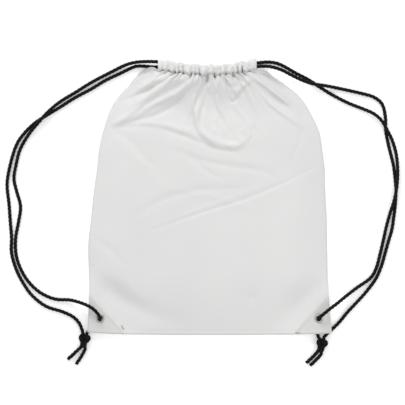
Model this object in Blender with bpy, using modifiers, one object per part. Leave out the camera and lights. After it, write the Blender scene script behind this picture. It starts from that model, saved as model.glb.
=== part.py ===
"""Drawstring backpack, lying on its back with its mouth drawn closed.

Metres, +Z up. The origin is at the middle of the bag's underside: +X is towards the
right strap, +Y towards the mouth. Two drawcords run in the casings of the mouth. Each
leaves at its own side as two shoulder cords: one goes through the eyelet of the bottom
corner and comes back under the corner, the other meets it there, and both end in a knot.
"""

import math

import bmesh
import bpy
import numpy as np
from mathutils import Matrix, Vector

# Bag
HALF_LENGTH = 0.1925          # middle to the bottom hem, and to the top of the casings
HALF_WIDTH = 0.1705           # at the bottom corners
CORNER_SWEEP = 0.006          # how far the bottom corners draw up from the bottom hem
# The gathered side's curve: how far up the panel, and how far out from the casing's end to the
# full half-width, both as shares of the way.
SIDE_CURVE = (
    (0.0167, 1.0), (0.2291, 0.9675), (0.4790, 0.9360), (0.6734, 0.8818),
    (0.8012, 0.7931), (0.8900, 0.6552), (0.9511, 0.4828), (1.0, 0.2857),
)
FABRIC = 0.0008               # thickness of a panel
GAP = 0.0003                  # between neighbouring pieces
DOME = 0.011                  # how far the front panel stands off the back panel
EDGE_FLAT = 0.008             # the seams' flat margin inside the outline
EDGE_RAMP = 0.040             # from that margin to the full dome
PANEL_COLUMN = 0.0155         # mean width of a panel's facets
PANEL_ROW = 0.015             # and their mean length

# Seams and casings
SEAM_WIDTH = 0.005
SEAM_THICKNESS = 0.0010
SIDE_SEAM_STEP = 0.0127       # length of a side seam's facets
BOTTOM_SEAM_STEP = 0.0104
SLIT_LENGTH = 0.040           # open slit at each side, below the casings
CASING_WALL = 0.0006
CASING_HALF_X = 0.069         # the gathered casings
CORD_PLAY = 0.0005            # between a cord and the casing's wall
MOUTH_GAP = 0.0056            # between the two casings
CASING_DEPTH = 0.0246         # stitch line to the top edge
OVAL_STEPS = 8                # facets of a casing's round edge
SHOULDER_RISE = 0.068         # length over which the panels rise to the casings

# Cords
CORD = 0.005                  # diameter
CORD_SPACING = 0.001          # between the two cords in a casing
POINT_STEP = 0.012            # between two points of a cord's tube
END_STEP = 0.0025             # between two points near a cord's ends
CORD_RESOLUTION = 2           # bevel resolution: eight sides
TURN_STEPS = 12               # facets of the half turn at a casing's end

# Corners, eyelets and knots
CORNER_FLAT = 0.033           # distance from the corner over which the bag is level
CORNER_RAMP = 0.065           # and over which it comes down again
PATCH_LEG = 0.050
PATCH_FABRIC = 0.0006
PATCH_INSET = 0.0012
EYELET_INSET = 0.018          # from the corner to the eyelet's middle, along each edge
EYELET_PLAY = 0.0007          # between a cord and the eyelet's barrel
BARREL_WALL = 0.0005
FLANGE_WIDTH = 0.0018         # past the barrel
FLANGE_HEIGHT = 0.0009
WASHER_HEIGHT = 0.0006
KNOT_RADII = (0.0080, 0.0115, 0.0061)

NYLON_WHITE = (0.78, 0.78, 0.78, 1.0)
CORD_BLACK = (0.012, 0.012, 0.012, 1.0)
NICKEL = (0.62, 0.61, 0.58, 1.0)
THREAD_WHITE = (0.80, 0.80, 0.78, 1.0)

# The shoulder cords' routes: from the casing's end to the eyelet or the knot.
LEFT_TO_EYELET = (
    (-0.0694, 0.1890, 0.0164), (-0.0840, 0.1896, 0.0156), (-0.1010, 0.1893, 0.0100),
    (-0.1170, 0.1858, 0.0052), (-0.1392, 0.1752, 0.0026), (-0.1650, 0.1616, 0.0026),
    (-0.1882, 0.1472, 0.0026), (-0.2080, 0.1350, 0.0038), (-0.2250, 0.1205, 0.0080),
    (-0.2400, 0.1040, 0.0074), (-0.2537, 0.0876, 0.0034), (-0.2650, 0.0680, 0.0026),
    (-0.2705, 0.0480, 0.0026), (-0.2738, 0.0270, 0.0026), (-0.2700, 0.0090, 0.0026),
    (-0.2646, -0.0120, 0.0026), (-0.2674, -0.0340, 0.0026), (-0.2714, -0.0560, 0.0026),
    (-0.2710, -0.0785, 0.0026), (-0.2647, -0.0990, 0.0026), (-0.2526, -0.1186, 0.0026),
    (-0.2360, -0.1335, 0.0026), (-0.2160, -0.1420, 0.0026), (-0.1960, -0.1430, 0.0048),
    (-0.1830, -0.1455, 0.0114), (-0.1710, -0.1495, 0.0166), (-0.1610, -0.1553, 0.0186),
    (-0.1548, -0.1622, 0.0186), (-0.1526, -0.1672, 0.0158), (-0.1525, -0.1685, 0.0128),
    (-0.1525, -0.1685, 0.0106),
)
LEFT_TO_KNOT_UPPER = (
    (-0.0693, 0.1830, 0.0036), (-0.0800, 0.1831, 0.0035), (-0.0920, 0.1843, 0.0028),
    (-0.1050, 0.1834, 0.0026),
    (-0.1247, 0.1742, 0.0026), (-0.1460, 0.1640, 0.0026), (-0.1656, 0.1522, 0.0026),
    (-0.1880, 0.1402, 0.0026), (-0.2080, 0.1276, 0.0026), (-0.2285, 0.1150, 0.0026),
    (-0.2440, 0.1050, 0.0026), (-0.2572, 0.0926, 0.0026), (-0.2688, 0.0770, 0.0026),
    (-0.2768, 0.0550, 0.0026), (-0.2826, 0.0285, 0.0026), (-0.2832, 0.0122, 0.0026),
)
LEFT_TO_KNOT_LOWER = (
    (-0.2832, 0.0118, 0.0026), (-0.2808, -0.0080, 0.0026), (-0.2790, -0.0330, 0.0026),
    (-0.2772, -0.0560, 0.0026), (-0.2774, -0.0760, 0.0026), (-0.2722, -0.0960, 0.0026),
    (-0.2635, -0.1150, 0.0026), (-0.2490, -0.1362, 0.0026), (-0.2290, -0.1520, 0.0026),
    (-0.2060, -0.1597, 0.0026), (-0.1915, -0.1665, 0.0028), (-0.1830, -0.1745, 0.0040),
    (-0.1790, -0.1826, 0.0052), (-0.1773, -0.1880, 0.0058),
)
RIGHT_TO_EYELET = (
    (0.0694, 0.1890, 0.0036), (0.0850, 0.1898, 0.0030), (0.1000, 0.1862, 0.0026),
    (0.1210, 0.1745, 0.0026), (0.1400, 0.1645, 0.0026), (0.1570, 0.1533, 0.0026),
    (0.1740, 0.1430, 0.0026), (0.1940, 0.1328, 0.0026), (0.2140, 0.1248, 0.0030),
    (0.2290, 0.1180, 0.0060), (0.2405, 0.1078, 0.0082), (0.2490, 0.0935, 0.0074),
    (0.2565, 0.0790, 0.0038), (0.2615, 0.0610, 0.0036), (0.2631, 0.0430, 0.0066),
    (0.2628, 0.0270, 0.0083), (0.2612, 0.0110, 0.0084), (0.2575, -0.0060, 0.0080),
    (0.2528, -0.0220, 0.0040), (0.2480, -0.0400, 0.0026), (0.2435, -0.0600, 0.0026),
    (0.2388, -0.0800, 0.0026), (0.2335, -0.0990, 0.0026), (0.2250, -0.1130, 0.0026),
    (0.2060, -0.1265, 0.0030), (0.1900, -0.1385, 0.0070), (0.1780, -0.1475, 0.0136),
    (0.1680, -0.1545, 0.0178), (0.1590, -0.1615, 0.0192), (0.1535, -0.1665, 0.0168),
    (0.1525, -0.1685, 0.0128), (0.1525, -0.1685, 0.0106),
)
RIGHT_TO_KNOT_UPPER = (
    (0.0693, 0.1830, 0.0164), (0.0840, 0.1826, 0.0155), (0.1000, 0.1785, 0.0108),
    (0.1150, 0.1712, 0.0086), (0.1300, 0.1640, 0.0086), (0.1450, 0.1590, 0.0086),
    (0.1600, 0.1568, 0.0074), (0.1760, 0.1542, 0.0032), (0.1950, 0.1502, 0.0026),
    (0.2140, 0.1458, 0.0026), (0.2300, 0.1410, 0.0026), (0.2420, 0.1310, 0.0026),
    (0.2465, 0.1130, 0.0026), (0.2470, 0.0940, 0.0026), (0.2505, 0.0750, 0.0026),
    (0.2550, 0.0570, 0.0026), (0.2580, 0.0441, 0.0026),
)
RIGHT_TO_KNOT_LOWER = (
    (0.2581, 0.0437, 0.0026), (0.2600, 0.0280, 0.0026), (0.2614, 0.0090, 0.0026),
    (0.2604, -0.0090, 0.0026), (0.2583, -0.0270, 0.0026), (0.2555, -0.0450, 0.0026),
    (0.2505, -0.0620, 0.0026), (0.2455, -0.0800, 0.0026), (0.2405, -0.0970, 0.0026),
    (0.2325, -0.1145, 0.0026), (0.2190, -0.1325, 0.0026), (0.2050, -0.1480, 0.0026),
    (0.1930, -0.1608, 0.0026), (0.1835, -0.1725, 0.0028), (0.1745, -0.1818, 0.0028),
    (0.1668, -0.1887, 0.0030), (0.1610, -0.1947, 0.0044),
)
# Under each corner: down through the eyelet, and along the floor to the knot.
LEFT_EYELET_LOOP = (
    (-0.1524, -0.1683, 0.0103), (-0.1523, -0.1682, 0.0064), (-0.1529, -0.1691, 0.0041),
    (-0.1552, -0.1720, 0.0028), (-0.1590, -0.1772, 0.0027), (-0.1645, -0.1842, 0.0027),
    (-0.1682, -0.1868, 0.0032), (-0.1704, -0.1880, 0.0040),
)
RIGHT_EYELET_LOOP = (
    (0.1525, -0.1684, 0.0103), (0.1525, -0.1682, 0.0064), (0.1524, -0.1692, 0.0041),
    (0.1518, -0.1726, 0.0028), (0.1506, -0.1790, 0.0027), (0.1502, -0.1860, 0.0028),
    (0.1515, -0.1920, 0.0038), (0.1532, -0.1959, 0.0050),
)
LEFT_KNOT = (-0.1750, -0.1990, 0.0063)
RIGHT_KNOT = (0.1570, -0.2058, 0.0063)
LEFT_TAILS = (
    ((-0.1802, -0.2092, 0.0044), (-0.1858, -0.2146, 0.0030), (-0.1920, -0.2206, 0.0027),
     (-0.1984, -0.2262, 0.0027)),
    ((-0.1740, -0.2113, 0.0044), (-0.1770, -0.2180, 0.0030), (-0.1815, -0.2256, 0.0027),
     (-0.1868, -0.2330, 0.0027)),
)
RIGHT_TAILS = (
    ((0.1512, -0.2156, 0.0044), (0.1466, -0.2210, 0.0030), (0.1414, -0.2262, 0.0027),
     (0.1358, -0.2314, 0.0027)),
    ((0.1565, -0.2182, 0.0044), (0.1524, -0.2240, 0.0030), (0.1470, -0.2296, 0.0027),
     (0.1412, -0.2350, 0.0027)),
)

# Worked out from the sizes above
BACK_CASING_Z = CORD / 2 + CORD_PLAY + CASING_WALL
FRONT_CASING_Z = 3 * BACK_CASING_Z + MOUTH_GAP
STITCH_Y = HALF_LENGTH - CASING_DEPTH
PANEL_TOP = STITCH_Y - GAP
SIDE_YS = [(PANEL_TOP + HALF_LENGTH) * up - HALF_LENGTH for up, _ in SIDE_CURVE]
SIDE_WIDTHS = [CASING_HALF_X + (HALF_WIDTH - CASING_HALF_X) * out for _, out in SIDE_CURVE]
SEAM_GAP = SEAM_THICKNESS + 2 * GAP
EYELET_X = HALF_WIDTH - EYELET_INSET
EYELET_Y = -HALF_LENGTH + CORNER_SWEEP + EYELET_INSET
EYELET_HOLE = CORD / 2 + EYELET_PLAY          # radius
BARREL_RADIUS = EYELET_HOLE + BARREL_WALL
FLANGE_RADIUS = BARREL_RADIUS + FLANGE_WIDTH
HOLE_RADIUS = BARREL_RADIUS + GAP
CORD_FLOOR_Z = CORD / 2 + 0.0001              # lowest that a cord's middle lies
CORD_TOP = CORD + 0.0004                      # a cord lying on the floor, with room to move
WASHER_Z = CORD_TOP + GAP                     # underside of the washer
CORNER_LIFT = WASHER_Z + WASHER_HEIGHT + GAP + PATCH_FABRIC + GAP
OUTER_RUN_Y = HALF_LENGTH - CASING_WALL - CORD_PLAY - CORD / 2 + 0.0001
INNER_RUN_Y = OUTER_RUN_Y - CORD - CORD_SPACING


def clear_scene():
    for obj in list(bpy.data.objects):
        bpy.data.objects.remove(obj, do_unlink=True)


def collection(name):
    made = bpy.data.collections.new(name)
    bpy.context.scene.collection.children.link(made)
    return made


def material(name, colour, roughness, metallic=0.0):
    made = bpy.data.materials.new(name)
    made.use_nodes = True
    shader = made.node_tree.nodes["Principled BSDF"]
    shader.inputs["Base Color"].default_value = colour
    shader.inputs["Roughness"].default_value = roughness
    shader.inputs["Metallic"].default_value = metallic
    return made


def add_object(name, data, owner, surface=None, smooth=True):
    obj = bpy.data.objects.new(name, data)
    owner.objects.link(obj)
    if surface:
        data.materials.append(surface)
    if smooth and isinstance(data, bpy.types.Mesh):
        data.shade_smooth()
        data.set_sharp_from_angle(angle=math.radians(35))
    return obj


def mesh_from(name, bm):
    mesh = bpy.data.meshes.new(name)
    bm.to_mesh(mesh)
    bm.free()
    return mesh


def smooth_step(value):
    t = min(max(value, 0.0), 1.0)
    return t * t * (3 - 2 * t)


def half_width(y):
    """Half-width of the gathered bag at a place up its length, by cubic segments."""
    slopes = np.gradient(SIDE_WIDTHS, SIDE_YS)
    y = min(max(y, SIDE_YS[0]), SIDE_YS[-1])
    i = min(max(int(np.searchsorted(SIDE_YS, y)) - 1, 0), len(SIDE_YS) - 2)
    span = SIDE_YS[i + 1] - SIDE_YS[i]
    t = (y - SIDE_YS[i]) / span
    return float(
        (2 * t**3 - 3 * t**2 + 1) * SIDE_WIDTHS[i] + (t**3 - 2 * t**2 + t) * span * slopes[i]
        + (3 * t**2 - 2 * t**3) * SIDE_WIDTHS[i + 1] + (t**3 - t**2) * span * slopes[i + 1]
    )


CORNER_Y = -HALF_LENGTH + CORNER_SWEEP


def bottom_edge(x):
    return -HALF_LENGTH + CORNER_SWEEP * min(abs(x) / HALF_WIDTH, 1.0) ** 3


def corner_distance(x, y):
    return math.hypot(abs(x) - HALF_WIDTH, y - CORNER_Y)


def lift(x, y):
    """Height of the bag's underside, which is raised at the bottom corners."""
    return CORNER_LIFT * (1 - smooth_step((corner_distance(x, y) - CORNER_FLAT) / CORNER_RAMP))


def towards_casing(x, y):
    """1 where a panel meets its casing, 0 in the body of the bag."""
    side = (abs(x) - CASING_HALF_X) / max(half_width(y) - CASING_HALF_X - EDGE_FLAT, GAP)
    return smooth_step((y - STITCH_Y + SHOULDER_RISE) / SHOULDER_RISE) * (1 - smooth_step(side))


def back_height(x, y):
    """Height of the back panel's middle surface."""
    flat = lift(x, y) + FABRIC / 2
    return flat + (BACK_CASING_Z - flat) * towards_casing(x, y)


def front_height(x, y):
    """Height of the front panel's middle surface."""
    to_edge = min(half_width(y) - abs(x), y - bottom_edge(x))
    stand_off = smooth_step((to_edge - EDGE_FLAT) / EDGE_RAMP)
    stand_off *= smooth_step((corner_distance(x, y) - CORNER_FLAT) / CORNER_RAMP)
    domed = lift(x, y) + FABRIC * 1.5 + SEAM_GAP + DOME * stand_off
    return domed + (FRONT_CASING_Z - domed) * towards_casing(x, y)


def solidify(obj, thickness):
    wall = obj.modifiers.new("Wall", "SOLIDIFY")
    wall.thickness = thickness
    wall.offset = 0.0


def cut(obj, cutter):
    hole = obj.modifiers.new("Hole", "BOOLEAN")
    hole.operation = "DIFFERENCE"
    hole.solver = "EXACT"
    hole.object = cutter


def sheet(name, columns, rows, place, thickness, owner, surface):
    """A sheet whose grid point at (across, along), both from 0 to 1, lies at place(across, along)."""
    bm = bmesh.new()
    bmesh.ops.create_grid(bm, x_segments=columns, y_segments=rows, size=0.5)
    for vert in bm.verts:
        vert.co = place(vert.co.x + 0.5, vert.co.y + 0.5)
    obj = add_object(name, mesh_from(name, bm), owner, surface)
    solidify(obj, thickness)
    return obj


def closer_outside(share):
    """Spreads even steps from -1 to 1 so that they're closer together at the outside."""
    return 0.35 * share + 0.65 * math.sin(share * math.pi / 2)


def panel(name, height, owner, surface):
    """A panel of the bag, whose grid is closer towards its sides and its bottom hem."""
    def place(across, along):
        across = 0.5 + 0.5 * closer_outside(2 * across - 1)
        along = 1 + closer_outside(along - 1)
        x = (2 * across - 1) * HALF_WIDTH
        y = bottom_edge(x) + (PANEL_TOP - bottom_edge(x)) * along
        x = (2 * across - 1) * half_width(y)
        return Vector((x, y, height(x, y)))
    columns = 2 * round(HALF_WIDTH / PANEL_COLUMN)
    rows = round((PANEL_TOP + HALF_LENGTH) / PANEL_ROW)
    return sheet(name, columns, rows, place, FABRIC, owner, surface)


def seam_height(x, y):
    return lift(x, y) + FABRIC + SEAM_GAP / 2


def side_seam(name, side, owner, surface):
    low = bottom_edge(HALF_WIDTH) + 2 * SEAM_WIDTH
    high = STITCH_Y - SLIT_LENGTH

    def place(across, along):
        y = low + (high - low) * along
        x = side * (half_width(y) - GAP - SEAM_WIDTH * across)
        return Vector((x, y, seam_height(x, y)))
    steps = math.ceil((high - low) / SIDE_SEAM_STEP)
    return sheet(name, 1, steps, place, SEAM_THICKNESS, owner, surface)


def bottom_seam(name, owner, surface):
    reach = HALF_WIDTH - SEAM_WIDTH

    def place(across, along):
        x = (2 * along - 1) * reach
        y = bottom_edge(x) + GAP + SEAM_WIDTH * across
        return Vector((x, y, seam_height(x, y)))
    steps = math.ceil(2 * reach / BOTTOM_SEAM_STEP)
    return sheet(name, 1, steps, place, SEAM_THICKNESS, owner, surface)


def corner_patch(name, side, height, above, owner, surface):
    """A triangle on the outside of a panel's bottom corner; above is +1 on the front, -1 on the back."""
    corner = Vector((side * (HALF_WIDTH - 2 * PATCH_INSET), CORNER_Y + PATCH_INSET, 0.0))
    bm = bmesh.new()
    corners = [
        bm.verts.new(corner),
        bm.verts.new(corner - Vector((side * PATCH_LEG, 0.0, 0.0))),
        bm.verts.new(corner + Vector((0.0, PATCH_LEG, 0.0))),
    ]
    bm.faces.new(corners if side < 0 else corners[::-1])
    for _ in range(3):
        bmesh.ops.subdivide_edges(bm, edges=bm.edges[:], cuts=1, use_grid_fill=True)
        bmesh.ops.triangulate(bm, faces=bm.faces[:])
    offset = above * (FABRIC / 2 + GAP + PATCH_FABRIC / 2)
    for vert in bm.verts:
        x, y = vert.co.xy
        vert.co.z = height(x, y) + offset
    obj = add_object(name, mesh_from(name, bm), owner, surface)
    solidify(obj, PATCH_FABRIC)
    return obj


def oval(curve, half_height, length):
    """Adds a closed outline with round ends, about its own middle, to a 2D curve."""
    straight = length / 2 - half_height
    spline = curve.splines.new("POLY")
    spline.points.add(2 * OVAL_STEPS + 1)
    for i, point in enumerate(spline.points):
        end = 1 if i <= OVAL_STEPS else -1
        turn = math.pi * (i - (end < 0)) / OVAL_STEPS - math.pi / 2
        point.co = (end * straight + half_height * math.cos(turn), half_height * math.sin(turn), 0.0, 1.0)
    spline.use_cyclic_u = True


def casing(name, z, owner, surface):
    """A hem folded over and stitched down: an oval tube along X, open at both ends."""
    curve = bpy.data.curves.new(name, "CURVE")
    curve.dimensions = "2D"
    curve.fill_mode = "BOTH"
    curve.extrude = CASING_HALF_X
    oval(curve, BACK_CASING_Z, CASING_DEPTH)
    oval(curve, BACK_CASING_Z - CASING_WALL, CASING_DEPTH - 2 * CASING_WALL)
    obj = add_object(name, curve, owner, surface)
    along_x = Matrix(((0, 0, 1), (1, 0, 0), (0, 1, 0))).to_4x4()
    obj.matrix_world = Matrix.Translation((0.0, STITCH_Y + CASING_DEPTH / 2, z)) @ along_x
    return obj


def smooth_route(points):
    """A smooth curve through the route's points, as close points and their distances along it."""
    route = np.array(points)
    ends = (2 * route[0] - route[1], 2 * route[-1] - route[-2])
    padded = np.vstack([ends[0], route, ends[1]])
    fine = []
    for i in range(1, len(padded) - 2):
        before, start, end, after = padded[i - 1:i + 3]
        for t in np.linspace(0.0, 1.0, 16, endpoint=False):
            fine.append(0.5 * (2 * start + (end - before) * t
                               + (2 * before - 5 * start + 4 * end - after) * t**2
                               + (3 * start - before - 3 * end + after) * t**3))
    fine = np.array(fine + [route[-1]])
    travelled = np.concatenate([[0.0], np.cumsum(np.linalg.norm(np.diff(fine, axis=0), axis=1))])
    return fine, travelled


def tube(name, places, owner, surface):
    """A cord's round tube through these places."""
    curve = bpy.data.curves.new(name, "CURVE")
    curve.dimensions = "3D"
    curve.bevel_depth = CORD / 2
    curve.bevel_resolution = CORD_RESOLUTION
    curve.use_fill_caps = True
    spline = curve.splines.new("POLY")
    spline.points.add(len(places) - 1)
    for point, place in zip(spline.points, places):
        point.co = (*place, 1.0)
    spline.use_smooth = True
    return add_object(name, curve, owner, surface)


def cord(name, points, owner, surface, close_start=4, close_end=4):
    """A cord on its route, with some points close together at each end, where it turns into its neighbour."""
    fine, travelled = smooth_route(points)
    first, last = close_start * END_STEP, travelled[-1] - close_end * END_STEP
    steps = max(int(round((last - first) / POINT_STEP)), 1)
    at = np.concatenate([
        np.linspace(0.0, first, close_start, endpoint=False),
        np.linspace(first, last, steps, endpoint=False),
        np.linspace(last, travelled[-1], close_end + 1),
    ])
    places = np.column_stack([np.interp(at, travelled, fine[:, axis]) for axis in range(3)])
    places[:, 2] = np.maximum(places[:, 2], CORD_FLOOR_Z)
    return tube(name, places, owner, surface)


def drawcord_run(name, side, owner, surface):
    """The cord inside the casings: in at its own side, round the far end, and back out."""
    front_y, back_y = (OUTER_RUN_Y, INNER_RUN_Y) if side < 0 else (INNER_RUN_Y, OUTER_RUN_Y)
    front = Vector((0.0, front_y, FRONT_CASING_Z))
    back = Vector((0.0, back_y, BACK_CASING_Z))
    middle = (front + back) / 2
    half = (front - back) / 2
    along = Vector((-side, 0.0, 0.0))
    places = [front + along * reach for reach in (-CASING_HALF_X, 0.0, CASING_HALF_X)]
    for step in range(1, TURN_STEPS):
        turn = math.pi * step / TURN_STEPS
        reach = CASING_HALF_X + half.length * math.sin(turn)
        places.append(middle + half * math.cos(turn) + along * reach)
    places += [back + along * reach for reach in (CASING_HALF_X, 0.0, -CASING_HALF_X)]
    return tube(name, places, owner, surface)


def turned(name, profile, at, owner, surface):
    """A closed (radius, height) profile turned about the vertical through a point."""
    bm = bmesh.new()
    verts = [bm.verts.new((radius, 0.0, height)) for radius, height in profile]
    for first, second in zip(verts, verts[1:] + verts[:1]):
        bm.edges.new((first, second))
    obj = add_object(name, mesh_from(name, bm), owner, surface, smooth=False)
    obj.location = at
    spin = obj.modifiers.new("Turn", "SCREW")
    spin.steps = 32
    spin.render_steps = 32
    spin.use_merge_vertices = True
    spin.merge_threshold = 0.00001
    return obj


def knot(name, centre, turn, owner, surface):
    """The overhand knot's outer shape: an egg with a flat underside and a waist between its turns."""
    bm = bmesh.new()
    bmesh.ops.create_uvsphere(bm, u_segments=20, v_segments=14, radius=1.0)
    for vert in bm.verts:
        x, y, z = vert.co
        waist = 1 - 0.10 * math.exp(-((y / 0.28) ** 2))
        vert.co = (x * KNOT_RADII[0] * waist, y * KNOT_RADII[1], max(z, -0.98) * KNOT_RADII[2] * waist)
    bmesh.ops.rotate(bm, verts=bm.verts[:], matrix=Matrix.Rotation(turn, 3, "Z"))
    obj = add_object(name, mesh_from(name, bm), owner, surface)
    obj.location = centre
    return obj


clear_scene()
parts = collection("drawstring_backpack")
cutters = collection("cutters")

nylon = material("nylon_fabric", NYLON_WHITE, 0.62)
thread = material("seam_thread", THREAD_WHITE, 0.8)
cord_black = material("polyester_cord", CORD_BLACK, 0.75)
nickel = material("nickel_plated_brass", NICKEL, 0.25, 1.0)

back_panel = panel("back_panel", back_height, parts, nylon)
front_panel = panel("front_panel", front_height, parts, nylon)
casing("back_casing", BACK_CASING_Z, parts, nylon)
casing("front_casing", FRONT_CASING_Z, parts, nylon)
bottom_seam("bottom_seam", parts, thread)

front_face = front_height(EYELET_X, EYELET_Y) + FABRIC / 2 + GAP + PATCH_FABRIC
for side, word in ((-1, "left"), (1, "right")):
    side_seam(f"{word}_side_seam", side, parts, thread)
    front_patch = corner_patch(f"{word}_front_corner_patch", side, front_height, 1, parts, nylon)
    back_patch = corner_patch(f"{word}_back_corner_patch", side, back_height, -1, parts, nylon)

    bm = bmesh.new()
    bmesh.ops.create_cone(
        bm, cap_ends=True, segments=32, radius1=HOLE_RADIUS, radius2=HOLE_RADIUS, depth=2 * FRONT_CASING_Z
    )
    punch = add_object(f"{word}_eyelet_punch", mesh_from(f"{word}_eyelet_punch", bm), cutters)
    punch.location = (side * EYELET_X, EYELET_Y, 0.0)
    punch.hide_render = True
    punch.display_type = "WIRE"
    for piece in (back_panel, front_panel, front_patch, back_patch):
        cut(piece, punch)

    eyelet_at = (side * EYELET_X, EYELET_Y, 0.0)
    barrel_foot = WASHER_Z
    flange_foot = front_face + GAP
    turned(f"{word}_eyelet", (
        (EYELET_HOLE, barrel_foot), (EYELET_HOLE, flange_foot + 0.5 * FLANGE_HEIGHT),
        (EYELET_HOLE + 0.3 * BARREL_WALL, flange_foot + FLANGE_HEIGHT),
        (FLANGE_RADIUS - FLANGE_HEIGHT, flange_foot + FLANGE_HEIGHT),
        (FLANGE_RADIUS, flange_foot + 0.4 * FLANGE_HEIGHT), (FLANGE_RADIUS, flange_foot),
        (BARREL_RADIUS, flange_foot), (BARREL_RADIUS, barrel_foot),
    ), eyelet_at, parts, nickel)
    turned(f"{word}_eyelet_washer", (
        (HOLE_RADIUS, WASHER_Z), (HOLE_RADIUS, WASHER_Z + WASHER_HEIGHT),
        (FLANGE_RADIUS, WASHER_Z + WASHER_HEIGHT), (FLANGE_RADIUS, WASHER_Z),
    ), eyelet_at, parts, nickel)

for side, word, to_eyelet, upper, lower, loop, tails, centre, turn in (
    (-1, "left", LEFT_TO_EYELET, LEFT_TO_KNOT_UPPER, LEFT_TO_KNOT_LOWER, LEFT_EYELET_LOOP,
     LEFT_TAILS, LEFT_KNOT, math.radians(-12)),
    (1, "right", RIGHT_TO_EYELET, RIGHT_TO_KNOT_UPPER, RIGHT_TO_KNOT_LOWER, RIGHT_EYELET_LOOP,
     RIGHT_TAILS, RIGHT_KNOT, math.radians(-14)),
):
    drawcord_run(f"{word}_drawcord_run", side, parts, cord_black)
    cord(f"{word}_shoulder_cord_to_eyelet", to_eyelet, parts, cord_black, close_end=14)
    cord(f"{word}_shoulder_cord_upper", upper, parts, cord_black)
    cord(f"{word}_shoulder_cord_lower", lower, parts, cord_black)

    pivot = bpy.data.objects.new(f"{word}_knot_pivot", None)
    parts.objects.link(pivot)
    pivot.location = (side * EYELET_X, EYELET_Y, 0.0)
    swinging = [
        cord(f"{word}_eyelet_loop", loop, parts, cord_black, close_start=6),
        knot(f"{word}_knot", centre, turn, parts, cord_black),
    ]
    for number, tail in enumerate(tails, start=1):
        tail_name = f"{word}_cord_tail_{number}"
        swinging.append(cord(tail_name, tail, parts, cord_black, close_start=2, close_end=2))
    for piece in swinging:
        piece.parent = pivot
        piece.matrix_parent_inverse = Matrix.Translation(pivot.location).inverted()
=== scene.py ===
import math

import bmesh
import bpy
import numpy as np
from mathutils import Matrix, Vector
from mathutils.bvhtree import BVHTree


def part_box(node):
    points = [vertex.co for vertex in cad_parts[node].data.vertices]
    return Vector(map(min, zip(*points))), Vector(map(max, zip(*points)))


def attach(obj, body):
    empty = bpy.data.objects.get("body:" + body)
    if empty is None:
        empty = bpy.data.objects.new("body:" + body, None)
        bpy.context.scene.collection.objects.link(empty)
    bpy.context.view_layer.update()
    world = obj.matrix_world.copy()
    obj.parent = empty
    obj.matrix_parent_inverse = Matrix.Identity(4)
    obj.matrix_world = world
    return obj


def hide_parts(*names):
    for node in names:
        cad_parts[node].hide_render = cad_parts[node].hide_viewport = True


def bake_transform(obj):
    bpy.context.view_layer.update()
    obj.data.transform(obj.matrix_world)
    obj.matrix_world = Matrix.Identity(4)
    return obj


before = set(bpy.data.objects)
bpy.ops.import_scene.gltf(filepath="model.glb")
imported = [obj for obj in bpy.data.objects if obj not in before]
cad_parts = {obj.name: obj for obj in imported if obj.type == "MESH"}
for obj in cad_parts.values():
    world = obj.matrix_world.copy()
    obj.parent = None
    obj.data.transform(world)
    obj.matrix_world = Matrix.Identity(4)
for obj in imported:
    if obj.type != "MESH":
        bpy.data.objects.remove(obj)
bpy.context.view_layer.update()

# ---------------------------------------------------------------------------------------------
# The floor, the lights and the camera
# The bag lies on its back on a plain white light table, which shows hardly any shadow, and is
# seen from straight above. A soft light beyond the mouth rakes the folds, and a weaker one fills.

MM = 0.001


def linear(code):
    """An sRGB hex colour as linear RGBA."""
    channels = [int(code[i:i + 2], 16) / 255 for i in (1, 3, 5)]
    return (*[c / 12.92 if c <= 0.04045 else ((c + 0.055) / 1.055) ** 2.4 for c in channels], 1.0)


def node(tree, kind, settings=(), **links):
    """Adds a shader node. Settings are attributes or inputs; links are inputs fed by sockets."""
    made = tree.nodes.new(kind)
    for key, value in dict(settings).items():
        if isinstance(key, str) and hasattr(made, key):
            setattr(made, key, value)
        else:
            made.inputs[key].default_value = value
    for key, socket in links.items():
        tree.links.new(socket, made.inputs[key.replace("_", " ")])
    return made


def new_material(name, settings):
    """A material and its Principled BSDF, with constants set on the shader's own sockets."""
    made = bpy.data.materials.new(name)
    made.use_nodes = True
    shader = made.node_tree.nodes["Principled BSDF"]
    for key, value in settings.items():
        shader.inputs[key].default_value = value
    return made, made.node_tree, shader


def add_mesh(name, bm, surface, smooth=True):
    """Turns a bmesh into an object of that name and surface."""
    mesh = bpy.data.meshes.new(name)
    bm.to_mesh(mesh)
    bm.free()
    obj = bpy.data.objects.new(name, mesh)
    bpy.context.scene.collection.objects.link(obj)
    mesh.materials.append(surface)
    if smooth:
        mesh.shade_smooth()
    return obj


FLOOR_SIDE = 12.0

# Matt white acrylic lit from below: even, with hardly any grain or shadow.
studio_white, tree, shader = new_material(
    "studio_floor",
    {"Base Color": linear("#FFFFFF"), "Roughness": 0.9, "Emission Color": linear("#FFFFFF"),
     "Emission Strength": 0.22},
)
grain = node(tree, "ShaderNodeTexNoise", {"Scale": 40.0})
tone = node(
    tree, "ShaderNodeMapRange", {"To Min": 0.985, "To Max": 1.0}, Value=grain.outputs["Fac"]
)
tree.links.new(tone.outputs["Result"], shader.inputs["Base Color"])
bm = bmesh.new()
bmesh.ops.create_grid(bm, x_segments=1, y_segments=1, size=FLOOR_SIDE / 2)
add_mesh("studio_floor", bm, studio_white, smooth=False)

world = bpy.data.worlds.new("studio")
bpy.context.scene.world = world
world.use_nodes = True
world.node_tree.nodes["Background"].inputs["Color"].default_value = linear("#FFFFFF")
world.node_tree.nodes["Background"].inputs["Strength"].default_value = 0.73


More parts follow.
